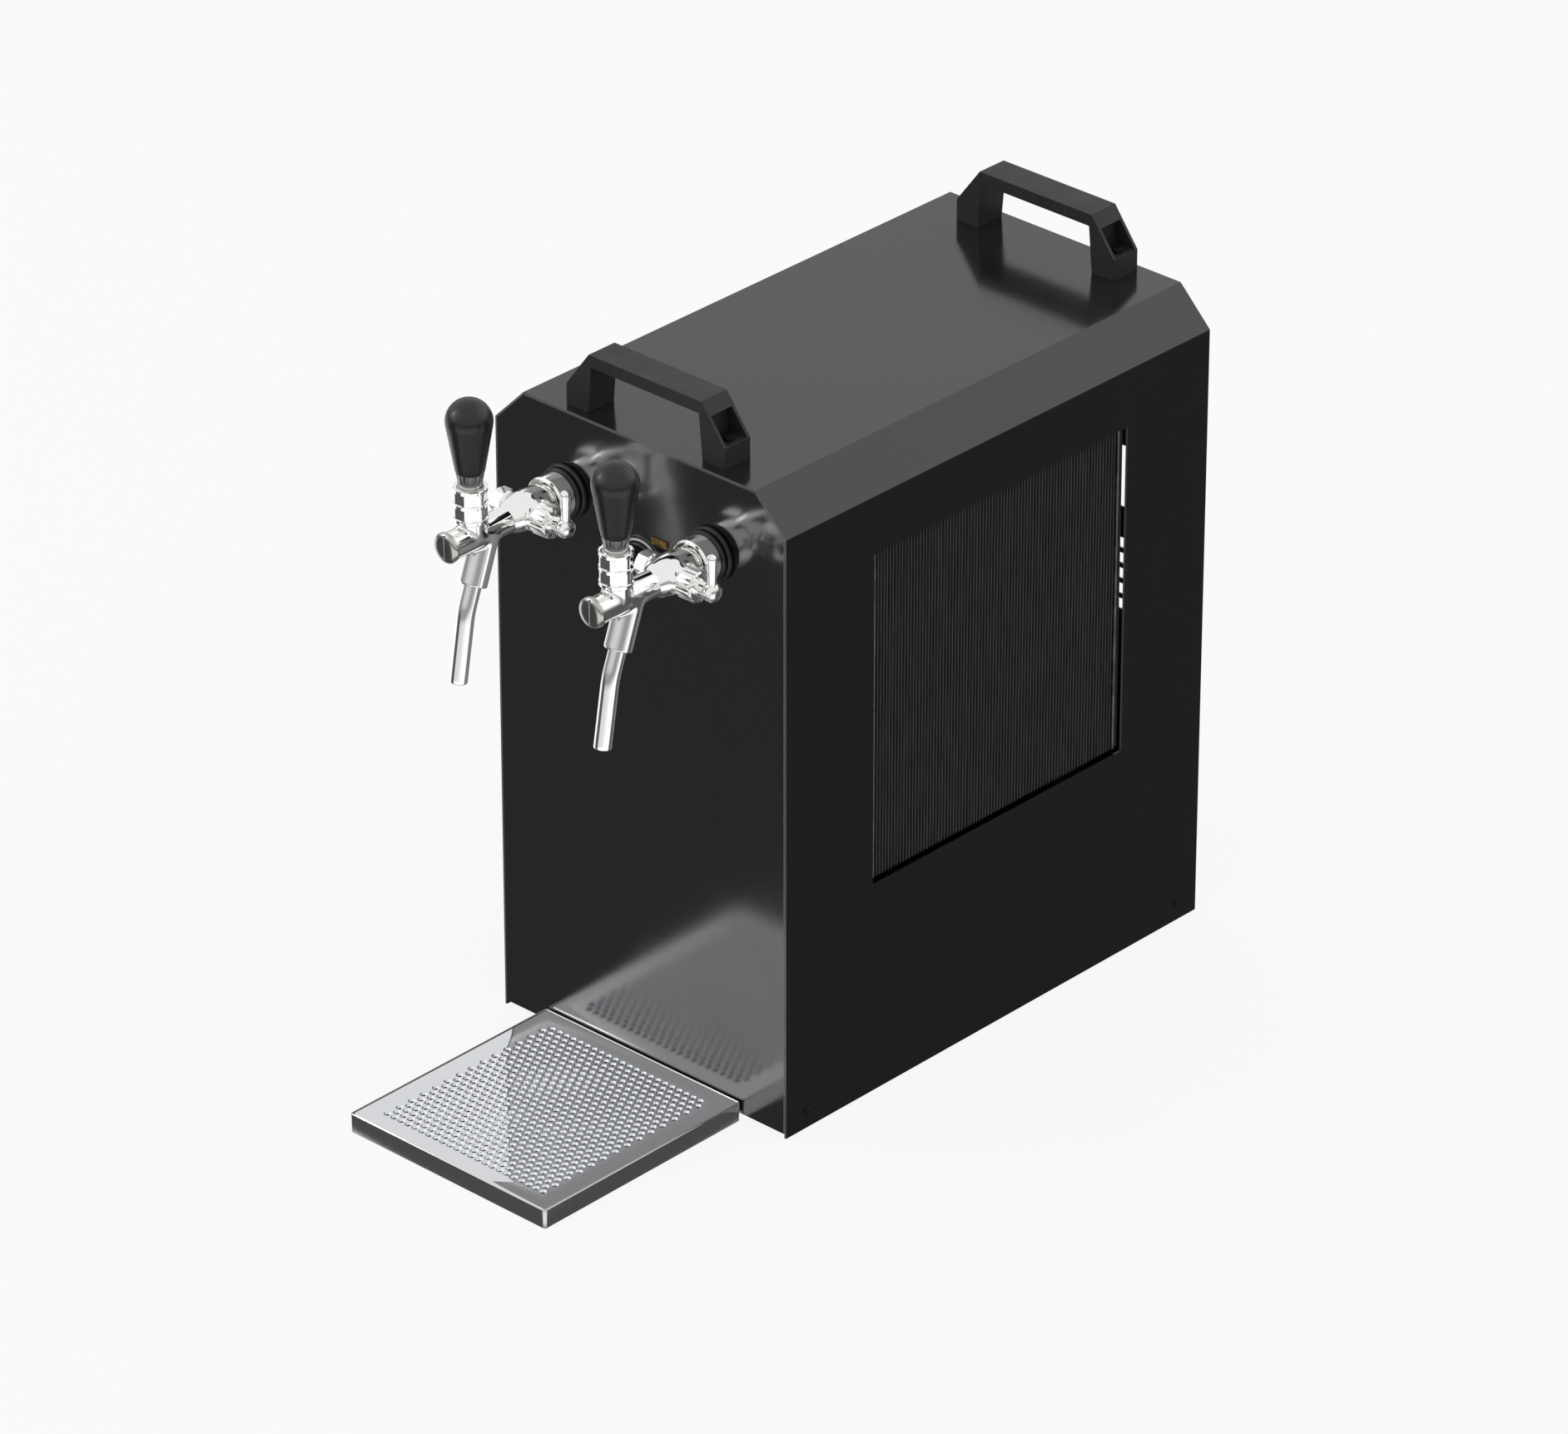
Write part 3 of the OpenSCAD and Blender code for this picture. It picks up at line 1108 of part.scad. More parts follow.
// Bent spout tube pressed into the body's sleeve
spout_s0 = sleeve_seat + spout_gap;
spout_bend_s = 56.3;
spout_bend_r = 60;
spout_angle = 10.7;
spout_leg = 47.6;
module spout_path(r, over) {
    back = spout_bend_r * tan(spout_angle / 2);
    s1 = spout_bend_s - back;
    translate([0, 0, spout_s0 - over]) cylinder(r = r, h = s1 - spout_s0 + over, $fn = fine);
    translate([0, -spout_bend_r, s1]) {
        rotate([90, 0, 90]) rotate_extrude(angle = spout_angle, $fn = smooth)
            translate([spout_bend_r, 0]) circle(r = r, $fn = fine);
        rotate([spout_angle, 0, 0]) translate([0, spout_bend_r, 0])
            cylinder(r = r, h = spout_leg - back + over, $fn = fine);
    }
}
module spout(side) at_tap(side) color("#d9d9d7") at_sleeve() difference() {
    spout_path(spout_r, 0);
    spout_path(spout_bore, cut);
}
module left_spout() spout(-1);
module right_spout() spout(1);

base_pan();
rubber_feet();
wrap_cover();
front_panel();
back_panel();
cover_screws();
front_handle();
rear_handle();
handle_screws();
condenser_core();
condenser_end_plates();
fan_shroud();
fan_ring();
shroud_legs();
fan_motor();
fan_rotor();
compressor();
compressor_mounts();
insulation_jacket();
cooling_block();
refrigerant_pipes();
filter_drier();
beer_pipes();
thermostat_body();
thermostat_bezel();
dial_ring();
thermostat_knob();
pilot_lamp();
power_inlet();
switch_body();
switch_rocker();
beer_inlets();
left_inlet_collet();
right_inlet_collet();
drip_tray();
drip_grid();
tap_shanks();
shank_nuts();
tap_collars();
coupling_nuts();
left_tap_body();
right_tap_body();
front_plugs();
blind_plugs();
flow_glands();
lever_collars();
left_spout();
right_spout();
left_plunger();
right_plunger();
left_lever();
right_lever();
left_ferrule();
right_ferrule();
left_lever_knob();
right_lever_knob();
left_flow_spindle();
right_flow_spindle();
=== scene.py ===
# %% [markdown]
# # Dressing a two-tap beer cooler
# The CAD model already says where every solid of the cooler is. This file gives the solids their looks:
# paint, chrome, stainless steel, moulded plastic, rubber and copper, and finer shapes where a solid is
# plainer than the real piece. Everything stays in the CAD model's own frame, in metres.

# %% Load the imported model
import math

import bmesh
import bpy
import numpy as np
from mathutils import Matrix, Vector


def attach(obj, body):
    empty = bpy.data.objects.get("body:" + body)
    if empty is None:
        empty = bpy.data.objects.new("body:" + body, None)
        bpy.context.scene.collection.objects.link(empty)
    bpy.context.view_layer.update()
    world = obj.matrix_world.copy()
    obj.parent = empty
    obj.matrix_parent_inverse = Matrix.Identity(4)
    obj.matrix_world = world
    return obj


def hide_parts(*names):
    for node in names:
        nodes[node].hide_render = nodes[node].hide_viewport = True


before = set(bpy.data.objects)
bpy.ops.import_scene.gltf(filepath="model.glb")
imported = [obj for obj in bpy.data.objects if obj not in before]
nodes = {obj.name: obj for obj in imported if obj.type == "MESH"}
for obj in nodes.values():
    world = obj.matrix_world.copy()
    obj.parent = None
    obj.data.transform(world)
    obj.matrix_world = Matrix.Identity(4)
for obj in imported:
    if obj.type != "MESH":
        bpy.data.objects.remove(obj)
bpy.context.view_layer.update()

# %% [markdown]
# ## Units and places
# The workshop drawing of the cooler is in millimetres, with y = 0 at the face of the front panel. The
# CAD model was centred when it was packed, so one helper turns a drawing point into a place in metres.
# Both taps are the same casting, mirrored only in where they stand, and share one axis height.

# %% Millimetres to metres, and the taps' axis
MM = 0.001
FRONT = -122.25
TAP_X = {"left": -63.8, "right": 63.8}
TAP_Z = 408.5
LEVER_U = 87.0
FLOW_U = 38.5


def place(points):
    """Drawing points in millimetres as an array of places in metres."""
    return (np.asarray(points, float) + (0, FRONT, 0)) * MM


print("front panel at y =", FRONT * MM, "m, tap axis at z =", TAP_Z * MM, "m")

# %% [markdown]
# ## Colours and nodes
# Paint charts and photographs give colours as sRGB hex codes, and Blender's sockets take linear light.
# One function turns the first into the second. One more adds a shader node: every material below is
# built with it, so that each stays a short list of what the finish is made of.

# %% Helpers for materials
def linear(code):
    """An sRGB hex code as linear red, green, blue and alpha."""
    parts = [int(code[i:i + 2], 16) / 255 for i in (1, 3, 5)]
    return (*[c / 12.92 if c <= 0.04045 else ((c + 0.055) / 1.055) ** 2.4 for c in parts], 1.0)


def add(material, kind, inputs=None, **settings):
    """Adds one node. An input is a plain value, or another node's output to link."""
    node = material.node_tree.nodes.new(kind)
    for field, value in settings.items():
        setattr(node, field, value)
    for socket, value in (inputs or {}).items():
        if isinstance(value, bpy.types.NodeSocket):
            material.node_tree.links.new(value, node.inputs[socket])
        else:
            node.inputs[socket].default_value = value
    return node


def finish(name, colour, metallic, roughness, **more):
    """A new material: its shader starts from the typical values of the real thing."""
    material = bpy.data.materials.new(name)
    material.use_nodes = True
    shader = material.node_tree.nodes["Principled BSDF"]
    values = {"Base Color": linear(colour), "Metallic": metallic, "Roughness": roughness, **more}
    for socket, value in values.items():
        shader.inputs[socket].default_value = value
    return material


def noise_at(material, size, stretch=(1, 1, 1), detail=3.0):
    """Noise whose blobs are about size millimetres across, fixed to the piece."""
    where = add(material, "ShaderNodeTexCoord")
    scaled = add(material, "ShaderNodeMapping",
                 {"Vector": where.outputs["Object"], "Scale": stretch})
    values = {"Vector": scaled.outputs["Vector"], "Scale": 1 / (size * MM), "Detail": detail}
    return add(material, "ShaderNodeTexNoise", values).outputs["Fac"]


def relief(material, height, pattern):
    """Raises the surface by height millimetres where the pattern is light; reliefs add up."""
    shader = material.node_tree.nodes["Principled BSDF"]
    below = [link.from_socket for link in shader.inputs["Normal"].links]
    bump = add(material, "ShaderNodeBump",
               {"Height": pattern, "Distance": height * MM, "Strength": 1.0})
    if below:
        material.node_tree.links.new(below[0], bump.inputs["Normal"])
    material.node_tree.links.new(bump.outputs["Normal"], shader.inputs["Normal"])


def shades(material, socket, pattern, low, high, start=0.3, stop=0.7):
    """Lets a socket wander between two values, or two colours, with a pattern."""
    shader = material.node_tree.nodes["Principled BSDF"]
    spread = {"Value": pattern, "From Min": start, "From Max": stop}
    if isinstance(low, str):
        share = add(material, "ShaderNodeMapRange", spread).outputs["Result"]
        mix = add(material, "ShaderNodeMix", {"Factor": share, "A": linear(low), "B": linear(high)},
                  data_type="RGBA")
    else:
        mix = add(material, "ShaderNodeMapRange", {**spread, "To Min": low, "To Max": high})
    material.node_tree.links.new(mix.outputs["Result"], shader.inputs[socket])


print("a mid grey in linear light:", [round(c, 3) for c in linear("#808080")[:3]])

# %% [markdown]
# ## Coated sheet steel
# The cover is one sheet, powder coated black and baked: the powder melts into a glossy skin with a very
# shallow orange peel, a millimetre or two from hill to hill. Its cut edges, the faces of the cover that
# look straight forwards or backwards, are painted a lighter grey: partly bare steel where the powder is
# thin, partly a painted highlight for the light the edges catch. The front panel is sprayed and polished
# to a deep mirror: its lacquer is given a higher IOR than plain paint, because it mirrors the tray more
# clearly than the cover mirrors anything.

# %% Case finishes
# the cut edges' lighter grey is partly bare steel and partly a painted highlight for the light they
# catch
PAINT, BARE_EDGE_HIGHLIGHT = "#1f1f1d", "#747470"
cover_paint = finish("powder_coat_black", PAINT, 0.0, 0.13, IOR=1.56)
relief(cover_paint, 0.0025, noise_at(cover_paint, 1.6, detail=1.0))
shades(cover_paint, "Roughness", noise_at(cover_paint, 45), 0.12, 0.16)
geometry = add(cover_paint, "ShaderNodeNewGeometry")
facing = add(cover_paint, "ShaderNodeSeparateXYZ", {"Vector": geometry.outputs["Normal"]})
edge_highlight_mask = add(cover_paint, "ShaderNodeMath", {0: facing.outputs["Y"]}, operation="ABSOLUTE")
# faces looking straight forwards or backwards, the cut edges, are painted lighter: partly bare steel,
# partly painted highlight
shades(cover_paint, "Base Color", edge_highlight_mask.outputs["Value"], PAINT, BARE_EDGE_HIGHLIGHT, 0.85, 0.95)

front_gloss = finish("lacquer_deep_black", "#0a0a0a", 0.0, 0.14, IOR=2.4)
relief(front_gloss, 0.002, noise_at(front_gloss, 2.2, detail=1.0))
shades(front_gloss, "Roughness", noise_at(front_gloss, 60), 0.12, 0.155)

back_steel = finish("powder_coat_rear", "#2b2b29", 0.0, 0.32)
relief(back_steel, 0.006, noise_at(back_steel, 1.6, detail=1.0))
shades(back_steel, "Roughness", noise_at(back_steel, 30), 0.28, 0.38)

zinc_steel = finish("galvanised_steel", "#a9abab", 1.0, 0.38)
spangle = add(zinc_steel, "ShaderNodeTexVoronoi",
              {"Vector": add(zinc_steel, "ShaderNodeTexCoord").outputs["Object"], "Scale": 1 / (7 * MM)})
shades(zinc_steel, "Base Color", spangle.outputs["Color"], "#9a9c9c", "#bfc1c1", 0.2, 0.8)
shades(zinc_steel, "Roughness", spangle.outputs["Distance"], 0.3, 0.46, 0.0, 1.0)

screw_black = finish("black_oxide_steel", "#0d0d0d", 0.6, 0.56)
shades(screw_black, "Roughness", noise_at(screw_black, 1.2), 0.48, 0.64)

shroud_steel = finish("painted_steel_grey", "#3a3a39", 0.0, 0.42)
relief(shroud_steel, 0.006, noise_at(shroud_steel, 1.8, detail=1.0))
shades(shroud_steel, "Roughness", noise_at(shroud_steel, 25), 0.36, 0.5)
print("case finishes:", [m.name for m in bpy.data.materials])

# %% [markdown]
# ## Plastic and rubber
# Moulded handles leave a spark-eroded mould with a grain of about half a millimetre, which breaks the
# gloss up. The lever knobs come from a polished mould, so they mirror lamps softly but clearly. Rubber
# is matt and a little dusty; the foam jacket has open cells.

# %% Moulded finishes
handle_plastic = finish("moulded_nylon_grained", "#2b2b2a", 0.0, 0.46, IOR=1.4)
relief(handle_plastic, 0.02, noise_at(handle_plastic, 0.55, detail=2.0))
shades(handle_plastic, "Roughness", noise_at(handle_plastic, 18), 0.42, 0.52)

knob_plastic = finish("phenolic_knob_polished", "#1c1c1c", 0.0, 0.3)
shades(knob_plastic, "Roughness", noise_at(knob_plastic, 9), 0.26, 0.34)
relief(knob_plastic, 0.002, noise_at(knob_plastic, 4.0, detail=1.0))

collar_rubber = finish("nitrile_rubber_collar", "#131313", 0.0, 0.38)
shades(collar_rubber, "Roughness", noise_at(collar_rubber, 3), 0.32, 0.46)
relief(collar_rubber, 0.01, noise_at(collar_rubber, 0.8))

foot_rubber = finish("rubber_foot", "#1c1c1b", 0.0, 0.7)
shades(foot_rubber, "Base Color", noise_at(foot_rubber, 5), "#181817", "#2a2a28")
relief(foot_rubber, 0.03, noise_at(foot_rubber, 0.9))

black_plastic = finish("moulded_abs_black", "#161616", 0.0, 0.3)
shades(black_plastic, "Roughness", noise_at(black_plastic, 6), 0.26, 0.36)
relief(black_plastic, 0.006, noise_at(black_plastic, 0.5))

white_plastic = finish("moulded_abs_white", "#e9e9e5", 0.0, 0.25)
shades(white_plastic, "Roughness", noise_at(white_plastic, 4), 0.2, 0.3)

body_plastic = finish("moulded_polyamide_cream", "#d9d7cb", 0.0, 0.45)
shades(body_plastic, "Base Color", noise_at(body_plastic, 12), "#d2d0c2", "#e0ded3")

collet_plastic = finish("acetal_grey", "#a9a9a4", 0.0, 0.3)
shades(collet_plastic, "Roughness", noise_at(collet_plastic, 2), 0.25, 0.38)

fan_plastic = finish("glass_filled_nylon", "#232323", 0.0, 0.5)
relief(fan_plastic, 0.02, noise_at(fan_plastic, 0.7))
shades(fan_plastic, "Roughness", noise_at(fan_plastic, 10), 0.44, 0.58)

strip_foam = finish("epdm_foam_strip", "#131313", 0.0, 0.9)
relief(strip_foam, 0.05, noise_at(strip_foam, 0.8))

foam = finish("elastomer_foam", "#262a2d", 0.0, 0.85)
cells = add(foam, "ShaderNodeTexVoronoi",
            {"Vector": add(foam, "ShaderNodeTexCoord").outputs["Object"], "Scale": 1 / (1.4 * MM)})
relief(foam, 0.15, cells.outputs["Distance"])
shades(foam, "Base Color", noise_at(foam, 25), "#202427", "#2e3337")

amber_lens = finish("amber_acrylic_lens", "#8a6a2a", 0.0, 0.22, **{"Transmission Weight": 0.25})
shades(amber_lens, "Base Color", noise_at(amber_lens, 2.4), "#6b5c30", "#b8832f", 0.4, 0.6)
relief(amber_lens, 0.05, noise_at(amber_lens, 1.5))
print("moulded finishes done:", len(bpy.data.materials), "materials")

# %% [markdown]
# ## Metals
# The taps are cast brass, polished and chrome plated: almost a mirror, with a faint waviness left by
# the polishing wheel. The front plugs are rougher chrome, and their base colour is darkened as painted
# shade, for the dark room their faces mirror. Tray and grid are stainless sheet with a cold tint, the
# grid polished brighter. Copper lines tarnish in clouds, brass parts show fine turning lines, the fins
# wear a dark epoxy coat. All metals keep the default IOR: their colour is the base colour.

# %% Metal finishes
chrome = finish("chrome_plate_polished", "#f5f5f3", 1.0, 0.05)
relief(chrome, 0.004, noise_at(chrome, 7, detail=1.0))
shades(chrome, "Roughness", noise_at(chrome, 12), 0.03, 0.08)

# front plugs: higher roughness is their duller finish; the darker base colour is painted shade for the
# dark room they mirror
plug_chrome_shaded = finish("chrome_dulled_painted_shade", "#b9b9b6", 1.0, 0.14)
shades(plug_chrome_shaded, "Roughness", noise_at(plug_chrome_shaded, 3), 0.1, 0.2)

ferrule_steel = finish("nickel_plated_ferrule", "#7d7d7b", 1.0, 0.2)
shades(ferrule_steel, "Roughness", noise_at(ferrule_steel, 2), 0.15, 0.28)

beer_steel = finish("drawn_stainless_tube", "#c6c6c3", 1.0, 0.24)
shades(beer_steel, "Roughness", noise_at(beer_steel, 6), 0.18, 0.32)
relief(beer_steel, 0.004, noise_at(beer_steel, 1.0))

tray_steel = finish("stainless_sheet_bent", "#d2d2d0", 1.0, 0.12)
shades(tray_steel, "Roughness", noise_at(tray_steel, 1.0, (1, 1, 0.1)), 0.09, 0.16)
relief(tray_steel, 0.003, noise_at(tray_steel, 5, detail=1.0))

grid_steel = finish("stainless_grid_polished", "#dee0e3", 1.0, 0.04)
shades(grid_steel, "Roughness", noise_at(grid_steel, 3), 0.03, 0.06)
relief(grid_steel, 0.001, noise_at(grid_steel, 8, detail=1.0))

plunger_brass = finish("turned_brass", "#c7a45c", 1.0, 0.25)
relief(plunger_brass, 0.01, noise_at(plunger_brass, 0.4, (0.1, 1, 0.1)))
shades(plunger_brass, "Roughness", noise_at(plunger_brass, 3), 0.2, 0.34)

copper = finish("drawn_copper_tarnished", "#b06a45", 1.0, 0.3)
shades(copper, "Base Color", noise_at(copper, 14), "#b87452", "#7e4a33")
shades(copper, "Roughness", noise_at(copper, 8), 0.22, 0.45)

block_aluminium = finish("cast_aluminium", "#a5a6a5", 1.0, 0.5)
relief(block_aluminium, 0.06, noise_at(block_aluminium, 1.5))
shades(block_aluminium, "Roughness", noise_at(block_aluminium, 6), 0.42, 0.6)

fin_coat = finish("epoxy_coated_fins", "#4b4b49", 0.0, 0.42)
shades(fin_coat, "Base Color", noise_at(fin_coat, 9, (1, 3, 0.3)), "#434341", "#565654")

motor_paint = finish("motor_housing_grey", "#5c5d5a", 0.3, 0.45)
relief(motor_paint, 0.03, noise_at(motor_paint, 1.2))
shades(motor_paint, "Roughness", noise_at(motor_paint, 8), 0.4, 0.55)

compressor_paint = finish("stove_enamel_black", "#151515", 0.0, 0.3)
relief(compressor_paint, 0.02, noise_at(compressor_paint, 2.5))
shades(compressor_paint, "Roughness", noise_at(compressor_paint, 20), 0.24, 0.4)
print("all finishes:", len(bpy.data.materials))

# %% [markdown]
# ## Sheet metal and mouldings that keep their CAD solid
# A folded case, a moulded handle or a bracket is already right in the CAD model, down to its holes, but
# a solid's edges are mathematically sharp, and nothing real is: light catches every edge as a thin line.
# Modifiers do that without touching the solid. A weld joins the loose triangles, flat ones melt into
# whole faces, a bevel rounds what is sharper than its angle, and weighted normals keep flats flat.

# %% Round the edges of the CAD solids
EDGE_STEPS = 2
FOLD_ANGLE = 28


def rounded(names, size, steps=EDGE_STEPS):
    """Gives CAD nodes edges rounded by size millimetres."""
    for name in names:
        solid = nodes[name]
        if "custom_normal" in solid.data.attributes:
            solid.data.attributes.remove(solid.data.attributes["custom_normal"])
        solid.data.shade_smooth()
        weld = solid.modifiers.new("weld", "WELD")
        weld.merge_threshold = 0.001 * MM
        flats = solid.modifiers.new("flats", "DECIMATE")
        flats.decimate_type, flats.angle_limit = "DISSOLVE", math.radians(0.3)
        bevel = solid.modifiers.new("edges", "BEVEL")
        bevel.width, bevel.segments = size * MM, steps
        bevel.limit_method, bevel.angle_limit = "ANGLE", math.radians(FOLD_ANGLE)
        solid.modifiers.new("normals", "WEIGHTED_NORMAL")


rounded(["wrap_cover"], 0.35)
rounded(["front_panel", "back_panel", "base_pan", "drip_tray", "fan_shroud", "fan_ring", "shroud_legs",
         "condenser_end_plates"], 0.3)
rounded(["front_handle", "rear_handle"], 0.9, 3)
rounded(["cover_screws", "handle_screws", "shank_nuts", "tap_shanks"], 0.25)
rounded(["power_inlet", "switch_body", "switch_rocker", "beer_inlets", "left_inlet_collet",
         "right_inlet_collet", "thermostat_body", "thermostat_knob", "thermostat_bezel", "dial_ring",
         "pilot_lamp"], 0.25)
rounded(["fan_motor", "fan_rotor", "compressor_mounts", "rubber_feet", "filter_drier",
         "cooling_block", "insulation_jacket", "compressor"], 0.6)
rounded(["refrigerant_pipes", "beer_pipes", "left_plunger", "right_plunger", "left_lever",
         "right_lever"], 0.15, 1)
print("solids with rounded edges:", sum(1 for o in nodes.values() if o.modifiers))

# %% [markdown]
# ## Finishes on the solids
# Each CAD node takes the finish of what it is made of.

# %% Dress the CAD solids
wears = {
    cover_paint: ["wrap_cover"],
    front_gloss: ["front_panel"],
    back_steel: ["back_panel"],
    zinc_steel: ["base_pan", "condenser_end_plates"],
    screw_black: ["cover_screws", "handle_screws"],
    shroud_steel: ["fan_shroud", "fan_ring", "shroud_legs"],
    handle_plastic: ["front_handle", "rear_handle"],
    knob_plastic: ["left_lever_knob", "right_lever_knob"],
    collar_rubber: ["tap_collars"],
    foot_rubber: ["rubber_feet", "compressor_mounts"],
    black_plastic: ["power_inlet", "switch_body", "switch_rocker", "beer_inlets", "thermostat_bezel",
                    "thermostat_knob"],
    white_plastic: ["dial_ring"],
    body_plastic: ["thermostat_body"],
    collet_plastic: ["left_inlet_collet", "right_inlet_collet"],
    fan_plastic: ["fan_rotor"],
    foam: ["insulation_jacket"],
    amber_lens: ["pilot_lamp"],
    chrome: ["coupling_nuts", "left_tap_body", "right_tap_body", "front_plugs", "blind_plugs",
             "flow_glands", "lever_collars", "left_spout", "right_spout", "left_flow_spindle",
             "right_flow_spindle"],
    ferrule_steel: ["left_ferrule", "right_ferrule"],
    beer_steel: ["tap_shanks", "shank_nuts", "beer_pipes", "left_lever", "right_lever"],
    tray_steel: ["drip_tray"],
    grid_steel: ["drip_grid"],
    plunger_brass: ["left_plunger", "right_plunger"],
    copper: ["refrigerant_pipes", "filter_drier"],
    block_aluminium: ["cooling_block"],
    fin_coat: ["condenser_core"],
    motor_paint: ["fan_motor"],
    compressor_paint: ["compressor"],
}
for material, names in wears.items():
    for name in names:
        nodes[name].data.materials.clear()
        nodes[name].data.materials.append(material)
print("nodes without a finish:", sorted(set(nodes) - {n for names in wears.values() for n in names}))

# %% [markdown]
# ## Turned pieces
# Most of a tap is turned on a lathe: nuts, plugs, collars and knobs. A lathe piece is an outline swept
# round an axis, so it needs one helper that turns an outline, one that eases the outline's corners, and
# one that joins the rings of points with faces. A shape function can press the round into a hexagon or
# flutes on the way round.

# %% Lathe helpers
def eased(outline, size, steps=3):
    """Rounds an outline's corners by about size millimetres."""
    points = [tuple(outline[0])]
    for before, corner, after in zip(outline, outline[1:], outline[2:]):
        back, middle, on = (Vector(p) for p in (before, corner, after))
        reach = min(size, (back - middle).length * 0.45, (on - middle).length * 0.45)
        start = middle + (back - middle).normalized() * reach
        end = middle + (on - middle).normalized() * reach
        for i in range(steps + 1):
            t = i / steps
            points.append(tuple(start.lerp(middle, t).lerp(middle.lerp(end, t), t)))
    return points + [tuple(outline[-1])]


def turned(outline, axis, at=(0, 0, 0), sides=96, shape=None):
    """Rings of drawing points: an outline of [radius, distance] turned about an axis.

    The axis "z" points up, "x" to the right and "u" out of the front panel.
    """
    angle = np.arange(sides) * 2 * np.pi / sides
    rings = []
    for radius, far in outline:
        r = np.full(sides, float(radius)) if shape is None else shape(radius, far, angle)
        c, s, h = r * np.cos(angle), r * np.sin(angle), np.full(sides, float(far))
        rings.append(np.stack({"z": (c, s, h), "x": (h, c, s), "u": (c, -h, s)}[axis], 1) + at)
    return rings


def skin(rings):
    """Points and faces that join a run of rings."""
    count = len(rings[0])
    faces = [(low + k, low + (k + 1) % count, low + count + (k + 1) % count, low + count + k)
             for low in range(0, (len(rings) - 1) * count, count) for k in range(count)]
    return np.concatenate(rings), faces


def built(name, parts, material, body, stands_for, sharp=32):
    """One piece from lists of points and faces, on its body, standing for its CAD nodes."""
    shape = bmesh.new()
    for points, faces in parts:
        made = [shape.verts.new(p) for p in place(points)]
        for face in faces:
            corners = [made[i] for i in face]
            if len(set(corners)) > 2:
                shape.faces.new(corners)
    bmesh.ops.remove_doubles(shape, verts=shape.verts, dist=0.0005 * MM)
    bmesh.ops.dissolve_degenerate(shape, edges=shape.edges, dist=0.0005 * MM)
    bmesh.ops.recalc_face_normals(shape, faces=shape.faces)
    mesh = bpy.data.meshes.new(name)
    shape.to_mesh(mesh)
    shape.free()
    mesh.shade_smooth()
    mesh.set_sharp_from_angle(angle=math.radians(sharp))
    mesh.materials.append(material)
    made = bpy.data.objects.new(name, mesh)
    bpy.context.scene.collection.objects.link(made)
    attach(made, body)
    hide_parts(*stands_for)
    return made


def on_tap(side, u=0.0):
    """The drawing point on a tap's axis, u millimetres in front of the panel."""
    return np.array((TAP_X[side], -u, TAP_Z))


print("a lathe ring has", len(turned([(1, 0)], "z")[0]), "points")

# %% [markdown]
# ## The tap body
# The body is one brass casting: a swollen valve chamber, the front tube, a neck for the lever, a branch
# for the flow control and a sleeve for the spout. Where these run into each other, a casting has
# fillets, because metal doesn't flow round a sharp inner corner. Joining plain tubes would leave hard
# creases there. So the form is written as a distance: how far is a point from each tube? A soft minimum
# of the distances is the whole casting with its fillets. A voxel remesh of rough tubes gives a skin near
# that form, and each of its points is then pulled onto it.

# %% The casting's outline and tubes
TAIL = 18.1
SHOULDER = (24.0, 12.5)
BULGE_END = (52.0, 11.5)
BULGE = 1.9
BARREL_R, BARREL_END, CONE_END = 9.5, 108.0, 57.0
SLEEVE_U, SLEEVE_R, SLEEVE_L = 73.4, 9.3, 37.0
SLEEVE_TILT = math.radians(20.4)
NECK_R, NECK_H = 9.3, 12.0
BRANCH_R, BLIND_R, BRANCH_L = 10.4, 9.6, 14.6

share = np.linspace(0, 1, 13)
swell = [(SHOULDER[1] + (BULGE_END[1] - SHOULDER[1]) * f + BULGE * math.sin(math.pi * f),
          SHOULDER[0] + (BULGE_END[0] - SHOULDER[0]) * f) for f in share]
inside = -30.0
body_outline = [(inside, TAIL), (9.0, TAIL), (9.0, SHOULDER[0]), *swell, (BARREL_R, CONE_END),
                (BARREL_R, BARREL_END), (inside, BARREL_END)]
sleeve_way = np.array((0, -math.sin(SLEEVE_TILT), -math.cos(SLEEVE_TILT)))
print("widest radius of the chamber:", round(max(r for r, u in swell), 2), "mm")


# %% Distances to the casting's parts
def outline_distance(r, u, outline, edge):
    """Signed distance of points (r, u) to a closed outline whose outer corners are rounded by edge."""
    nearest, within = np.full(len(r), 1e9), np.zeros(len(r), bool)
    for (ar, au), (br, bu) in zip(outline, outline[1:] + outline[:1]):
        er, eu = br - ar, bu - au
        t = np.clip(((r - ar) * er + (u - au) * eu) / (er * er + eu * eu), 0, 1)
        nearest = np.minimum(nearest, np.hypot(r - ar - er * t, u - au - eu * t))
        if au != bu:
            within ^= ((au > u) != (bu > u)) & (r < er * (u - au) / eu + ar)
    return np.where(within, -nearest, nearest) - edge


def tube_distance(p, foot, way, length, radius, edge):
    """Signed distance of points to a solid tube whose ends are rounded by edge."""
    q = p - np.asarray(foot, float)
    along = q @ np.asarray(way, float)
    off = np.linalg.norm(q - np.outer(along, way), axis=1)
    d = np.stack([off - radius + edge, np.abs(along - length / 2) - length / 2 + edge], 1)
    return np.minimum(d.max(1), 0) + np.linalg.norm(np.maximum(d, 0), axis=1) - edge


def filleted(a, b, size):
    """Two distances joined, with a fillet of about size millimetres between them."""
    h = np.maximum(size - np.abs(a - b), 0) / size
    return np.minimum(a, b) - h * h * size / 4


# Each tube on the barrel: (place on the axis, way, length, radius, rounding of its end, fillet)
TUBES = [(FLOW_U, (1, 0, 0), BRANCH_L, BRANCH_R, 0.7, 2.6),
         (FLOW_U, (-1, 0, 0), BRANCH_L, BLIND_R, 0.7, 2.6),
         (SLEEVE_U, sleeve_way, SLEEVE_L, SLEEVE_R, 0.6, 2.0),
         (LEVER_U, (0, 0, 1), NECK_H, NECK_R, 0.4, 2.0)]


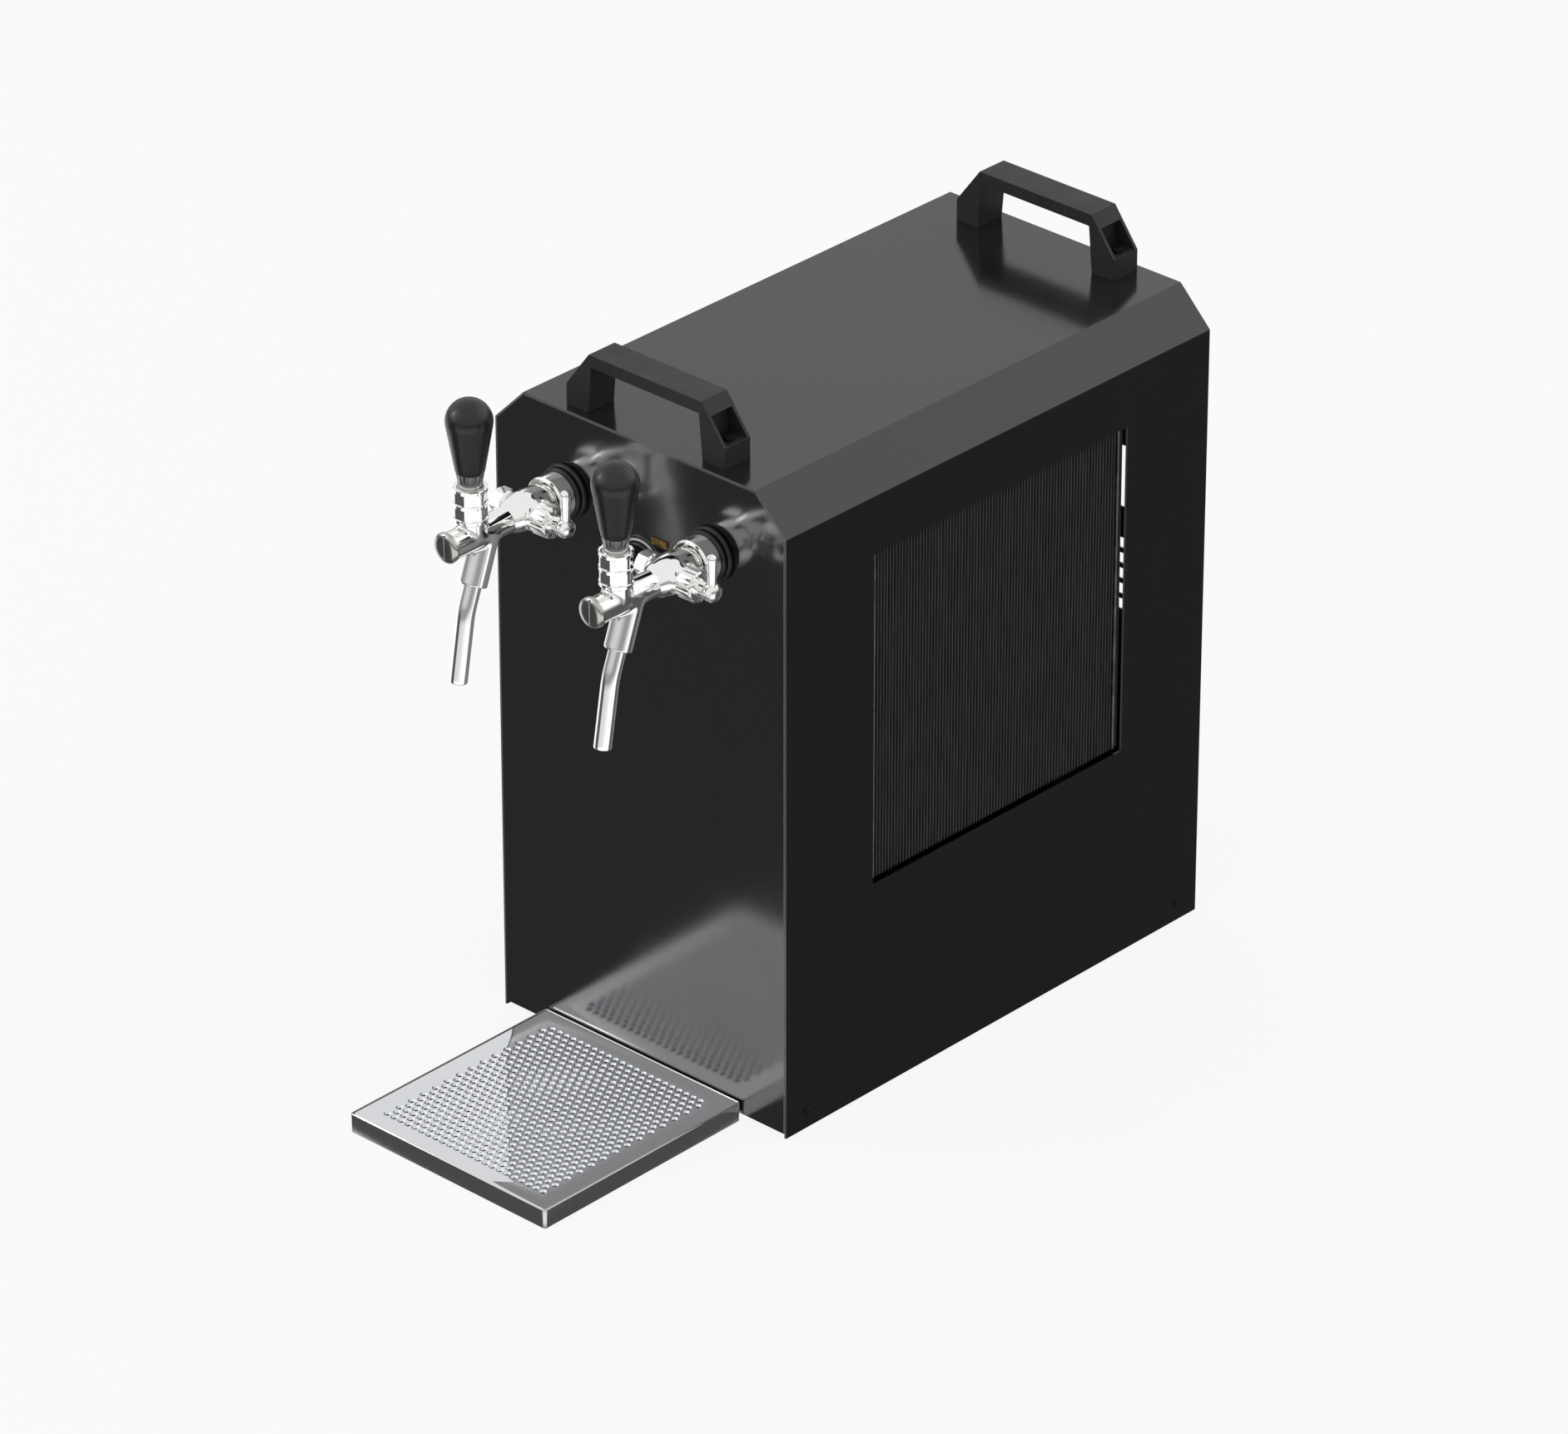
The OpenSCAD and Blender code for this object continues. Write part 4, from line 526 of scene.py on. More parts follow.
def casting(p):
    """Signed distance to the tap body, for points in the tap's own frame."""
    form = outline_distance(np.hypot(p[:, 0], p[:, 2]), -p[:, 1], body_outline, 0.0)
    for u, way, length, radius, edge, fillet in TUBES:
        form = filleted(form, tube_distance(p, (0, -u, 0), way, length, radius, edge), fillet)
    return form


def slope(p, step=0.02):
    """How the distance grows along each axis, which points straight out of the surface."""
    return np.stack([(casting(p + step * e) - casting(p - step * e)) / (2 * step) for e in np.eye(3)], 1)


print("distance at the bulge's skin:", casting(np.array([[0.0, -60.0, 9.5]])).round(3))

# %% [markdown]
# The rough form only has to be close: tubes joined by a voxel remesh. A few pulls then bring its points
# onto the written form, so that the chrome mirrors without ripples.

# %% Cast the body
VOXEL = 0.8
PULLS = 5


def cast_body():
    """Points and faces of the casting, in the tap's own frame."""
    rough = bmesh.new()
    outline = [(0, TAIL), *body_outline[1:-1], (0, BARREL_END)]
    plain = {"branch": (BRANCH_R, 0, BRANCH_L), "blind": (BLIND_R, -BRANCH_L, 0),
             "neck": (NECK_R, 0, NECK_H), "sleeve": (SLEEVE_R, 0, SLEEVE_L)}
    plain = {key: [(0, low), (r, low), (r, high), (0, high)] for key, (r, low, high) in plain.items()}
    tilt = np.array(Matrix.Rotation(math.pi - SLEEVE_TILT, 3, "X"))
    tubes = [turned(outline, "u"),
             turned(plain["branch"], "x", (0, -FLOW_U, 0)),
             turned(plain["blind"], "x", (0, -FLOW_U, 0)),
             turned(plain["neck"], "z", (0, -LEVER_U, 0)),
             [ring @ tilt.T + (0, -SLEEVE_U, 0) for ring in turned(plain["sleeve"], "z")]]
    for rings in tubes:
        points, faces = skin(rings)
        corners = [rough.verts.new(p) for p in points]
        for face in faces:
            rough.faces.new([corners[i] for i in face])
    bmesh.ops.remove_doubles(rough, verts=rough.verts, dist=1e-4)
    bmesh.ops.recalc_face_normals(rough, faces=rough.faces)
    mesh = bpy.data.meshes.new("rough_casting")
    rough.to_mesh(mesh)
    rough.free()
    blank = bpy.data.objects.new("rough_casting", mesh)
    bpy.context.scene.collection.objects.link(blank)
    remesh = blank.modifiers.new("voxels", "REMESH")
    remesh.mode, remesh.voxel_size = "VOXEL", VOXEL
    bpy.context.view_layer.update()
    skinned = blank.evaluated_get(bpy.context.evaluated_depsgraph_get()).to_mesh()
    points = np.array([v.co for v in skinned.vertices], float)
    faces = [tuple(f.vertices) for f in skinned.polygons]
    bpy.data.objects.remove(blank)
    bpy.data.meshes.remove(mesh)
    for _ in range(PULLS):
        out = slope(points)
        points -= out * (casting(points) / np.maximum((out * out).sum(1), 0.25))[:, None]
    return points, faces


cast_points, cast_faces = cast_body()
print(len(cast_points), "points; furthest from the form:",
      round(float(np.abs(casting(cast_points)).max()), 4), "mm")

# %% Two tap bodies
for side in TAP_X:
    built(f"{side}_cast_body", [(cast_points + on_tap(side), cast_faces)], chrome, "case",
          [f"{side}_tap_body"], sharp=60)
print("tap bodies at x =", list(TAP_X.values()), "mm")

# %% [markdown]
# ## Nuts, collars and plugs of the taps
# The rubber collar has two rounded ribs and seals against the panel. The coupling nut is a plain chromed
# ring. The front of the tube is closed by a domed plug with a screwdriver slot; the blind side of the
# branch by a hexagon plug; the other side holds a gland for the flow control's spindle.

# %% Collars and coupling nuts
def rib(radius, near, far, bulge=1.9, steps=14):
    """Half an oval, from near to far, that swells out to radius."""
    middle, half = (near + far) / 2, (far - near) / 2
    return [(radius - bulge * (1 - math.cos(a)), middle + half * math.sin(a))
            for a in np.linspace(-math.pi / 2, math.pi / 2, steps)]


BACK_RIB_R, FRONT_RIB_R, BORE_R = 19, 17.5, 11.08
collar = [(BORE_R, 0), *rib(BACK_RIB_R, 0, 4), *rib(FRONT_RIB_R, 4.08, 8), (BORE_R, 8), (BORE_R, 0)]
nut = eased([(BORE_R, 8), (15.4, 8), (16, 8.6), (16, 19.8), (14.8, 21), (9.08, 21), (9.08, 18.2),
             (BORE_R, 18.2), (BORE_R, 8)], 0.35)
both = list(TAP_X)
built("rubber_collars", [skin(turned(collar, "u", on_tap(s))) for s in both], collar_rubber, "case",
      ["tap_collars"])
built("round_nuts", [skin(turned(nut, "u", on_tap(s), 128)) for s in both], chrome, "case",
      ["coupling_nuts"])
print("collar ribs reach", BACK_RIB_R, "and", FRONT_RIB_R, "mm")

# %% Plugs and glands
PLUG_R, PLUG_L = 10.5, 4.0
dome_outline = [(0, BARREL_END - 4), (6.42, BARREL_END - 4), (6.42, BARREL_END), (PLUG_R, BARREL_END),
                *[(PLUG_R * math.cos(a) ** 0.55, BARREL_END + 1.2 + (PLUG_L - 1.2) * math.sin(a))
                  for a in np.linspace(0, math.pi / 2, 14)]]
dome_outline[-1] = (0, BARREL_END + PLUG_L)
gland = eased([(0, 6.6), (6.92, 6.6), (6.92, 14.6), (11, 14.6), (11, 26), (10, 27), (6.2, 27),
               (6.2, 33), (3.08, 33), (3.08, 30)], 0.5)


def hexagon(radius, far, angle, across=9.4 * math.cos(math.pi / 6)):
    """A round of the given radius, cut by six flats."""
    flat = across / np.cos((angle % (math.pi / 3)) - math.pi / 6)
    return np.minimum(radius, flat)


def press_fluted(radius, far, angle):
    """A grip with ten shallow flutes where the piece is widest."""
    return radius - 0.5 * (radius > 9.5) * np.clip(np.cos(10 * angle), 0, 1) ** 2


hex_plug = eased([(0, -8.6), (6.92, -8.6), (6.92, -14.6), (9.6, -14.6), (9.4, -22.6), (8.2, -23.6),
                  (0, -23.6)], 0.5)
built("hexagon_plugs", [skin(turned(hex_plug, "x", on_tap(s, FLOW_U), 144, hexagon)) for s in both],
      chrome, "case", ["blind_plugs"], sharp=24)
built("spindle_glands", [skin(turned(gland, "x", on_tap(s, FLOW_U), 120, press_fluted)) for s in both],
      chrome, "case", ["flow_glands"])
print("gland from x = 14.6 to 33 mm")

# %% Slotted front plugs
SLOT_HALF, SLOT_DEEP = 0.8, 1.2
CUT_AHEAD, CUT_HALF = 2, 12
plugs = built("slotted_plugs", [skin(turned(dome_outline, "u", on_tap(s))) for s in both], plug_chrome_shaded,
              "case", ["front_plugs"])
front = -BARREL_END - PLUG_L
quads = [(0, 1, 3, 2), (4, 6, 7, 5), (0, 4, 5, 1), (2, 3, 7, 6), (0, 2, 6, 4), (1, 5, 7, 3)]
cutter_parts = [([(x + a, b, TAP_Z + c) for a in (-SLOT_HALF, SLOT_HALF)
                  for b in (front - CUT_AHEAD, front + SLOT_DEEP) for c in (-CUT_HALF, CUT_HALF)],
                 quads) for x in TAP_X.values()]
cutter = built("slot_cutter", cutter_parts, plug_chrome_shaded, "case", [])
cut = plugs.modifiers.new("slot", "BOOLEAN")
cut.operation, cut.object, cut.solver = "DIFFERENCE", cutter, "EXACT"
bpy.context.view_layer.update()
slotted = bpy.data.meshes.new_from_object(plugs.evaluated_get(bpy.context.evaluated_depsgraph_get()))
plugs.modifiers.clear()
plugs.data = slotted
plugs.data.shade_smooth()
plugs.data.set_sharp_from_angle(angle=math.radians(32))
bpy.data.objects.remove(cutter)
print("slots cut:", len(slotted.polygons), "faces")

# %% [markdown]
# ## The lever's collar, ferrule and knob
# The collar nut holds the lever's ball: three turned rings with hexagon flats between them for a
# spanner. Above it a ferrule widens in broad flutes, and a black knob is screwed on: a cone that
# runs into a ball without a step.

# %% Collar nut
RINGS = [(12, 15), (22.5, 25.5), (33, 36)]


def spanner_flats(radius, far, angle, across=11.5 * math.cos(math.pi / 6)):
    """Flats where the outline is under the rings' radius."""
    flat = across / np.cos((angle % (math.pi / 3)) - math.pi / 6)
    return np.where(radius > 10.95, radius, np.minimum(radius, flat))


tiers = [(8.3, 12)]
for low, high in RINGS:
    if low > 12:
        tiers.append((10.8, low))
    tiers += [(10.9, low), (11.2, low + 0.4), (11.2, high - 0.4), (10.9, high)]
    if high < 36:
        tiers.append((10.8, high))
tiers += [(9.6, 36.0), (8.9, 35.75), (8.88, 34.5)]
built("collar_nuts", [skin(turned(tiers, "z", on_tap(s, LEVER_U), 144, spanner_flats)) for s in both],
      chrome, "case", ["lever_collars"], sharp=22)
print("collar nut from", RINGS[0][0], "to", RINGS[-1][1], "mm above the tap's axis")

# %% Ferrules and knobs
KNOB_R, KNOB_BASE, KNOB_FOOT, KNOB_Z = 15.5, 9.5, 46.0, 81.7


def broad_flutes(radius, far, angle):
    """Twelve shallow flutes that fade out below."""
    deep = 0.45 * np.clip((far - 38.3) / 3, 0, 1)
    return radius - deep * (0.5 - 0.5 * np.cos(12 * angle))


drop = KNOB_Z - KNOB_FOOT
tangent = math.atan2(drop, KNOB_BASE) - math.acos(KNOB_R / math.hypot(drop, KNOB_BASE))
knob_outline = [(3.08, KNOB_FOOT), (KNOB_BASE - 0.6, KNOB_FOOT), (KNOB_BASE - 0.1, KNOB_FOOT + 0.4)]
touch = (KNOB_R * math.cos(tangent), KNOB_Z - KNOB_R * math.sin(tangent))
knob_outline += [(KNOB_BASE + (touch[0] - KNOB_BASE) * f, KNOB_FOOT + (touch[1] - KNOB_FOOT) * f)
                 for f in np.linspace(0.05, 1, 8)]
knob_outline += [(KNOB_R * math.cos(a), KNOB_Z + KNOB_R * math.sin(a))
                 for a in np.linspace(-tangent, math.pi / 2, 40)[1:]]
ferrule_outline = eased([(3.08, 38.3), (7.94, 38.3), (9.3, 45.7), (9.3, 46), (3.08, 46)], 0.3)
for side in both:
    spot = on_tap(side, LEVER_U)
    built(f"{side}_fluted_ferrule", [skin(turned(ferrule_outline, "z", spot, 144, broad_flutes))],
          ferrule_steel, f"{side}_handle", [f"{side}_ferrule"])
    built(f"{side}_ball_knob", [skin(turned(knob_outline, "z", spot, 128))], knob_plastic,
          f"{side}_handle", [f"{side}_lever_knob"], sharp=40)
print("knob tops at", KNOB_Z + KNOB_R, "mm above the tap's axis")

# %% [markdown]
# ## Flow control
# A small hub turns on the gland's nose and carries a short upright lever with a rounded tip. The hub is
# scalloped so that wet fingers can hold it.

# %% Hub and small lever
HUB_X = 33.3


def scallops(radius, far, angle):
    """Six rounded lobes on the hub's rim."""
    return radius - 0.7 * (radius > 5.5) * (0.5 - 0.5 * np.cos(6 * angle))


hub = eased([(r, HUB_X + x) for r, x in ((0, -6), (3, -6), (3, 0), (5.6, 0), (6.6, 1), (6.6, 4.8),
                                         (5.3, 6.8), (2.6, 8), (0, 8))], 0.5)
STEM_R, TIP_R, STEM_L = 2.5, 3.6, 23.4
stem = [(0, 0), (STEM_R, 0),
        *[(STEM_R + 1.1 * f, STEM_L * f) for f in np.linspace(0.1, 1, 8)],
        *[(TIP_R * math.cos(a), STEM_L + TIP_R * math.sin(a))
          for a in np.linspace(0, math.pi / 2, 12)[1:]]]
for side in both:
    centre = on_tap(side, FLOW_U)
    built(f"{side}_flow_lever", [skin(turned(hub, "x", centre, 96, scallops)),
                                 skin(turned(stem, "z", centre + (HUB_X + 3, 0, 0), 48))],
          chrome, f"{side}_flow", [f"{side}_flow_spindle"], sharp=40)
print("flow lever tips at", TAP_Z + STEM_L + TIP_R, "mm")

# %% [markdown]
# ## Spouts
# The spout is a thin stainless tube, bent once and pressed into the sleeve. A tube is a ring swept along
# its centre line. Going down the outside, over a rounded lip and back up the bore gives its wall.

# %% Bent tubes
SPOUT_R, SPOUT_BORE = 5.9, 4.4
BEND_R, BEND = 60.0, math.radians(10.7)
STRAIGHT, LEG, SEAT = 50.68, 41.98, 15.05


def along_spout(s):
    """Centre and heading of the tube's line, s millimetres below the seat, in the sleeve's plane."""
    arc = BEND_R * BEND
    if s <= STRAIGHT - SEAT:
        turn, centre = 0.0, sleeve_way * (SEAT + s)
    else:
        on = min(s - (STRAIGHT - SEAT), arc)
        turn = on / BEND_R
        forward = np.array((0, -math.cos(SLEEVE_TILT), math.sin(SLEEVE_TILT)))
        inner = sleeve_way * STRAIGHT - forward * BEND_R
        centre = inner + forward * BEND_R * math.cos(turn) + sleeve_way * BEND_R * math.sin(turn)
    tilt = SLEEVE_TILT - turn
    way = np.array((0, -math.sin(tilt), -math.cos(tilt)))
    beyond = s - (STRAIGHT - SEAT) - arc
    return centre + way * max(beyond, 0), way


END = STRAIGHT - SEAT + BEND_R * BEND + LEG
lip = (SPOUT_R - SPOUT_BORE) / 2
run = [(SPOUT_BORE, 0), (SPOUT_R, 0), *[(SPOUT_R, s) for s in np.linspace(2, END - lip, 40)]]
run += [(SPOUT_BORE + lip + lip * math.cos(a), END - lip + lip * math.sin(a))
        for a in np.linspace(0, math.pi, 9)[1:]]
run += [(SPOUT_BORE, s) for s in np.linspace(END - lip, 0, 30)[1:]]
angle = np.arange(64) * 2 * np.pi / 64
spout_rings = []
for radius, s in run:
    centre, way = along_spout(s)
    across = np.cross((1, 0, 0), way)
    spout_rings.append(centre + radius * (np.outer(np.cos(angle), (1, 0, 0))
                                          + np.outer(np.sin(angle), across)))
for side in both:
    start = on_tap(side, SLEEVE_U)
    built(f"{side}_bent_spout", [skin([ring + start for ring in spout_rings])], chrome, "case",
          [f"{side}_spout"], sharp=50)
print("spout tip at", (along_spout(END)[0] + on_tap("left", SLEEVE_U)).round(2), "mm")

# %% [markdown]
# ## The drip tray
# The tray is bent from thin stainless sheet: round corners, a rolled rim and a ledge inside that carries
# the grid. Its section is drawn once and swept round a rectangle with round corners. Two flat tongues at
# the back hook into the front panel.

# %% Bend the tray
def frame_ring(x, y0, y1, inset, z, radius=2.2, steps=5):
    """A level rectangle with round corners, as drawing points."""
    r = max(radius - inset, 0.3)
    wide, low, high = x - inset - r, y0 + inset + r, y1 - inset - r
    ring = []
    for cx, cy, start in ((wide, high, 0), (-wide, high, 90), (-wide, low, 180), (wide, low, 270)):
        for k in range(steps + 1):
            a = math.radians(start + 90 * k / steps)
            ring.append((cx + r * math.cos(a), cy + r * math.sin(a), z))
    return ring


def capped(rings):
    """A skin whose first and last rings are closed by flat faces."""
    points, faces = skin([np.array(ring, float) for ring in rings])
    count = len(rings[0])
    return points, faces + [tuple(range(count)), tuple(range(len(points) - count, len(points)))]


TRAY_X, TRAY_Y = 88.5, (-184.0, -1.0)
TONGUE_X, TONGUE_Y = 58, (-1.6, 12.0)
RIM = 1.2
tray_section = [(0.8, 0.5), (0.2, 0.8), (0.0, 1.4), (0.0, 13.9), (0.12, 14.25), (0.35, 14.45),
                (0.6, 14.5), (0.85, 14.45), (1.08, 14.25), (RIM, 13.9), (RIM, 13.0), (4.7, 13.0),
                (4.7, 11.8), (RIM, 11.8), (RIM, 2.6), (2.0, 1.7)]
tongue_section = [(-12, 12.0), (-11.8, 11.8), (11.8, 11.8), (12, 12.0), (12, 12.8), (11.8, 13.0),
                  (-11.8, 13.0), (-12, 12.8)]
tray_parts = [capped([frame_ring(TRAY_X, *TRAY_Y, inset, z) for inset, z in tray_section])]
for middle in (-TONGUE_X, TONGUE_X):
    tray_parts.append(capped([[(middle + x, y, z) for x, z in tongue_section]
                              for y in np.linspace(*TONGUE_Y, 5)]))
built("bent_tray", tray_parts, tray_steel, "tray", ["drip_tray"], sharp=50)
print("tray", 2 * TRAY_X, "x", TRAY_Y[1] - TRAY_Y[0], "mm, rim", RIM, "mm thick")

# %% [markdown]
# ## The drip grid
# The grid is a stainless plate punched with staggered round holes. The punch draws each hole's rim down
# into a small funnel, and the far side of every funnel catches the light as a bright arc. So the funnels
# are real geometry: two flat plates with holes, filled by Blender from curves, and rings that join them.

# %% Punch the grid
PITCH, HOLE_R = 6.4, 1.5
ROWS, LONG_ROW = 28, 23
GRID_X, GRID_Y, GRID_Z = 87.0, (-182.5, -2.5), (13.0, 14.0)
FUNNEL_R, FUNNEL_H, SIDES = 2.6, 1.45, 16
row_step = PITCH * math.sqrt(3) / 2
hole_places = [((i - (LONG_ROW - 1 - j % 2) / 2) * PITCH,
                sum(GRID_Y) / 2 + (j - (ROWS - 1) / 2) * row_step)
               for j in range(ROWS) for i in range(LONG_ROW - j % 2)]
round_of = np.arange(SIDES) * 2 * np.pi / SIDES


def punched(z, inset, radius):
    """A flat plate at height z with a hole at every place, as points and faces."""
    curve = bpy.data.curves.new("punched_plate", "CURVE")
    curve.dimensions, curve.fill_mode = "2D", "BOTH"
    outlines = [[p[:2] for p in frame_ring(GRID_X, *GRID_Y, inset, z)]]
    outlines += [[(x + radius * math.cos(a), y + radius * math.sin(a)) for a in round_of]
                 for x, y in hole_places]
    for line in outlines:
        spline = curve.splines.new("POLY")
        spline.points.add(len(line) - 1)
        for target, (x, y) in zip(spline.points, line):
            target.co = (x, y, 0, 1)
        spline.use_cyclic_u = True
    holder = bpy.data.objects.new("punched_plate", curve)
    bpy.context.scene.collection.objects.link(holder)
    bpy.context.view_layer.update()
    flat = holder.evaluated_get(bpy.context.evaluated_depsgraph_get()).to_mesh()
    points = np.array([(v.co.x, v.co.y, z) for v in flat.vertices])
    faces = [tuple(f.vertices) for f in flat.polygons]
    bpy.data.objects.remove(holder)
    return points, faces


under, top = GRID_Z
mouth, root = FUNNEL_R + 0.06, FUNNEL_R + 0.3
funnel = [(mouth, top), (FUNNEL_R, top), (FUNNEL_R - 0.13, top - 0.05), (FUNNEL_R - 0.26, top - 0.17),
          (HOLE_R + 0.08, top - FUNNEL_H + 0.25), (HOLE_R, top - FUNNEL_H),
          (HOLE_R + 0.1, top - FUNNEL_H - 0.1), (HOLE_R + 0.3, top - FUNNEL_H), (root, under)]
one_points, one_faces = skin(turned(funnel, "z", (0, 0, 0), SIDES))
count = len(one_points)
funnel_points = np.concatenate([one_points + (x, y, 0) for x, y in hole_places])
funnel_faces = [tuple(i + k * count for i in face)
                for k in range(len(hole_places)) for face in one_faces]
edge = [(0.4, top), (0.2, top - 0.05), (0.05, top - 0.2), (0.0, top - 0.45), (0.0, under + 0.1),
        (0.1, under)]
edge_skin = skin([np.array(frame_ring(GRID_X, *GRID_Y, inset, z)) for inset, z in edge])
grid = built("punched_grid",
             [punched(top, edge[0][0], mouth), punched(under, edge[-1][0], root),
              (funnel_points, funnel_faces), edge_skin],
             grid_steel, "grid", ["drip_grid"], sharp=40)
print(len(hole_places), "holes,", len(grid.data.polygons), "faces")

# %% [markdown]
# ## Foam strip at the condenser
# A strip of black foam is stuck on the condenser's rear end plate. It closes most of the gap between
# the plate and the window's edge, so that the fan draws its air through the fins.

# %% Stick the strip on
STRIP_X, STRIP_Y, STRIP_Z = (118.0, 124.8), (322.0, 325.5), (161.0, 401.0)
SOFT = 0.4
middle, half = sum(STRIP_X) / 2, (STRIP_X[1] - STRIP_X[0]) / 2
strip_rings = [[(middle + x, y, z)
                for x, y, _ in frame_ring(half, *STRIP_Y, inset, 0.0, radius=0.6, steps=2)]
               for inset, z in ((SOFT, STRIP_Z[0]), (0.0, STRIP_Z[0] + SOFT),
                                (0.0, STRIP_Z[1] - SOFT), (SOFT, STRIP_Z[1]))]
built("foam_strip", [capped(strip_rings)], strip_foam, "case", [])
print("foam strip", STRIP_Y[1] - STRIP_Y[0], "mm thick")

# %% [markdown]
# ## Floor, lamps and surroundings
# The cooler stands on a plain pale floor. Camera rays see it as nearly white, with the cooler's soft
# shadow left on it. Rays that bounce off metal or gloss pass through it and see the room instead:
# bright above, a dim band at eye level, bright again below and dim straight down. Two dark flags stand
# low at the front left and at the back right, as a photographer sets them up so that black gloss stays
# black.

# %% Floor
floor_shape = bmesh.new()
bmesh.ops.create_grid(floor_shape, x_segments=8, y_segments=8, size=14.0)
floor_mesh = bpy.data.meshes.new("studio_floor")
floor_shape.to_mesh(floor_mesh)
floor_shape.free()
floor = bpy.data.objects.new("studio_floor", floor_mesh)
bpy.context.scene.collection.objects.link(floor)

PAPER = 0.947
FLOOR_GLOW = 0.89
SHADOW_CATCH, BOUNCE = 0.1, 0.5
studio = bpy.data.materials.new("studio_paper")
studio.use_nodes = True
studio.node_tree.nodes.clear()
light_path = add(studio, "ShaderNodeLightPath")
lit = add(studio, "ShaderNodeEmission", {"Strength": FLOOR_GLOW})
paper = add(studio, "ShaderNodeBsdfDiffuse", {"Color": (*[SHADOW_CATCH] * 3, 1)})
seen = add(studio, "ShaderNodeAddShader", {0: lit.outputs["Emission"], 1: paper.outputs["BSDF"]})
bounce = add(studio, "ShaderNodeBsdfDiffuse", {"Color": (*[BOUNCE] * 3, 1)})
through = add(studio, "ShaderNodeBsdfTransparent")
mirror = add(studio, "ShaderNodeMath",
             {0: light_path.outputs["Is Glossy Ray"], 1: light_path.outputs["Is Transmission Ray"]},
             operation="MAXIMUM")
indirect = add(studio, "ShaderNodeMixShader",
               {0: mirror.outputs["Value"], 1: bounce.outputs["BSDF"], 2: through.outputs["BSDF"]})
whole = add(studio, "ShaderNodeMixShader",
            {0: light_path.outputs["Is Camera Ray"], 1: indirect.outputs["Shader"],
             2: seen.outputs["Shader"]})
add(studio, "ShaderNodeOutputMaterial", {"Surface": whole.outputs["Shader"]})
floor_mesh.materials.append(studio)
print("floor", tuple(round(v, 1) for v in floor.dimensions), "m")

# %% Surroundings
FLAG_LINE = (0.681, 0.733)
FLAG_LEVEL = 0.12
FLAG_SIDES, FLAG_TOP = (0.88, 0.97), (0.0, -0.12)
PLAIN_LEVEL = 0.7
BRIGHTEST = 1.6
# (height of the direction, share of BRIGHTEST); the ramp's own two end stops come first
ROOM_BANDS = [(-1.0, 0.16), (1.0, 0.7), (-0.8, 0.18), (-0.62, 0.9), (-0.3, 0.9), (-0.1, 0.26),
              (0.03, 0.26), (0.2, 0.7)]
world = bpy.data.worlds.new("pale_room")
bpy.context.scene.world = world
world.use_nodes = True
world.node_tree.nodes.clear()
ray = add(world, "ShaderNodeLightPath")
mirrored = add(world, "ShaderNodeMath",
               {0: ray.outputs["Is Glossy Ray"], 1: ray.outputs["Is Transmission Ray"]},
               operation="MAXIMUM")
way = add(world, "ShaderNodeTexCoord").outputs["Generated"]
heading = add(world, "ShaderNodeSeparateXYZ", {"Vector": way})
height = add(world, "ShaderNodeMapRange",
             {"Value": heading.outputs["Z"], "From Min": -1.0, "From Max": 1.0})
bands = add(world, "ShaderNodeValToRGB", {"Fac": height.outputs["Result"]})
for slot, (z, value) in enumerate(ROOM_BANDS):
    stop = bands.color_ramp.elements[slot] if slot < 2 else bands.color_ramp.elements.new((z + 1) / 2)
    stop.position, stop.color = (z + 1) / 2, (value, value, value, 1)
room_light = add(world, "ShaderNodeMath", {0: bands.outputs["Color"], 1: BRIGHTEST},
                 operation="MULTIPLY")
flat_way = add(world, "ShaderNodeVectorMath", {0: way, 1: (1, 1, 0)}, operation="MULTIPLY")
bearing = add(world, "ShaderNodeVectorMath", {0: flat_way.outputs["Vector"]}, operation="NORMALIZE")
lined_up = add(world, "ShaderNodeVectorMath", {0: bearing.outputs["Vector"], 1: (*FLAG_LINE, 0)},
               operation="DOT_PRODUCT")
either_way = add(world, "ShaderNodeMath", {0: lined_up.outputs["Value"]}, operation="ABSOLUTE")
flagged = add(world, "ShaderNodeMapRange",
              {"Value": either_way.outputs["Value"],
               "From Min": FLAG_SIDES[0], "From Max": FLAG_SIDES[1]},
              interpolation_type="SMOOTHSTEP")
low = add(world, "ShaderNodeMapRange",
          {"Value": heading.outputs["Z"], "From Min": FLAG_TOP[0], "From Max": FLAG_TOP[1]})
flag = add(world, "ShaderNodeMath", {0: flagged.outputs["Result"], 1: low.outputs["Result"]},
           operation="MULTIPLY")
wall = add(world, "ShaderNodeMix",
           {"Factor": flag.outputs["Value"], "A": room_light.outputs["Value"], "B": FLAG_LEVEL},
           data_type="FLOAT")
level = add(world, "ShaderNodeMix",
            {"Factor": mirrored.outputs["Value"], "A": PLAIN_LEVEL, "B": wall.outputs["Result"]},
            data_type="FLOAT")
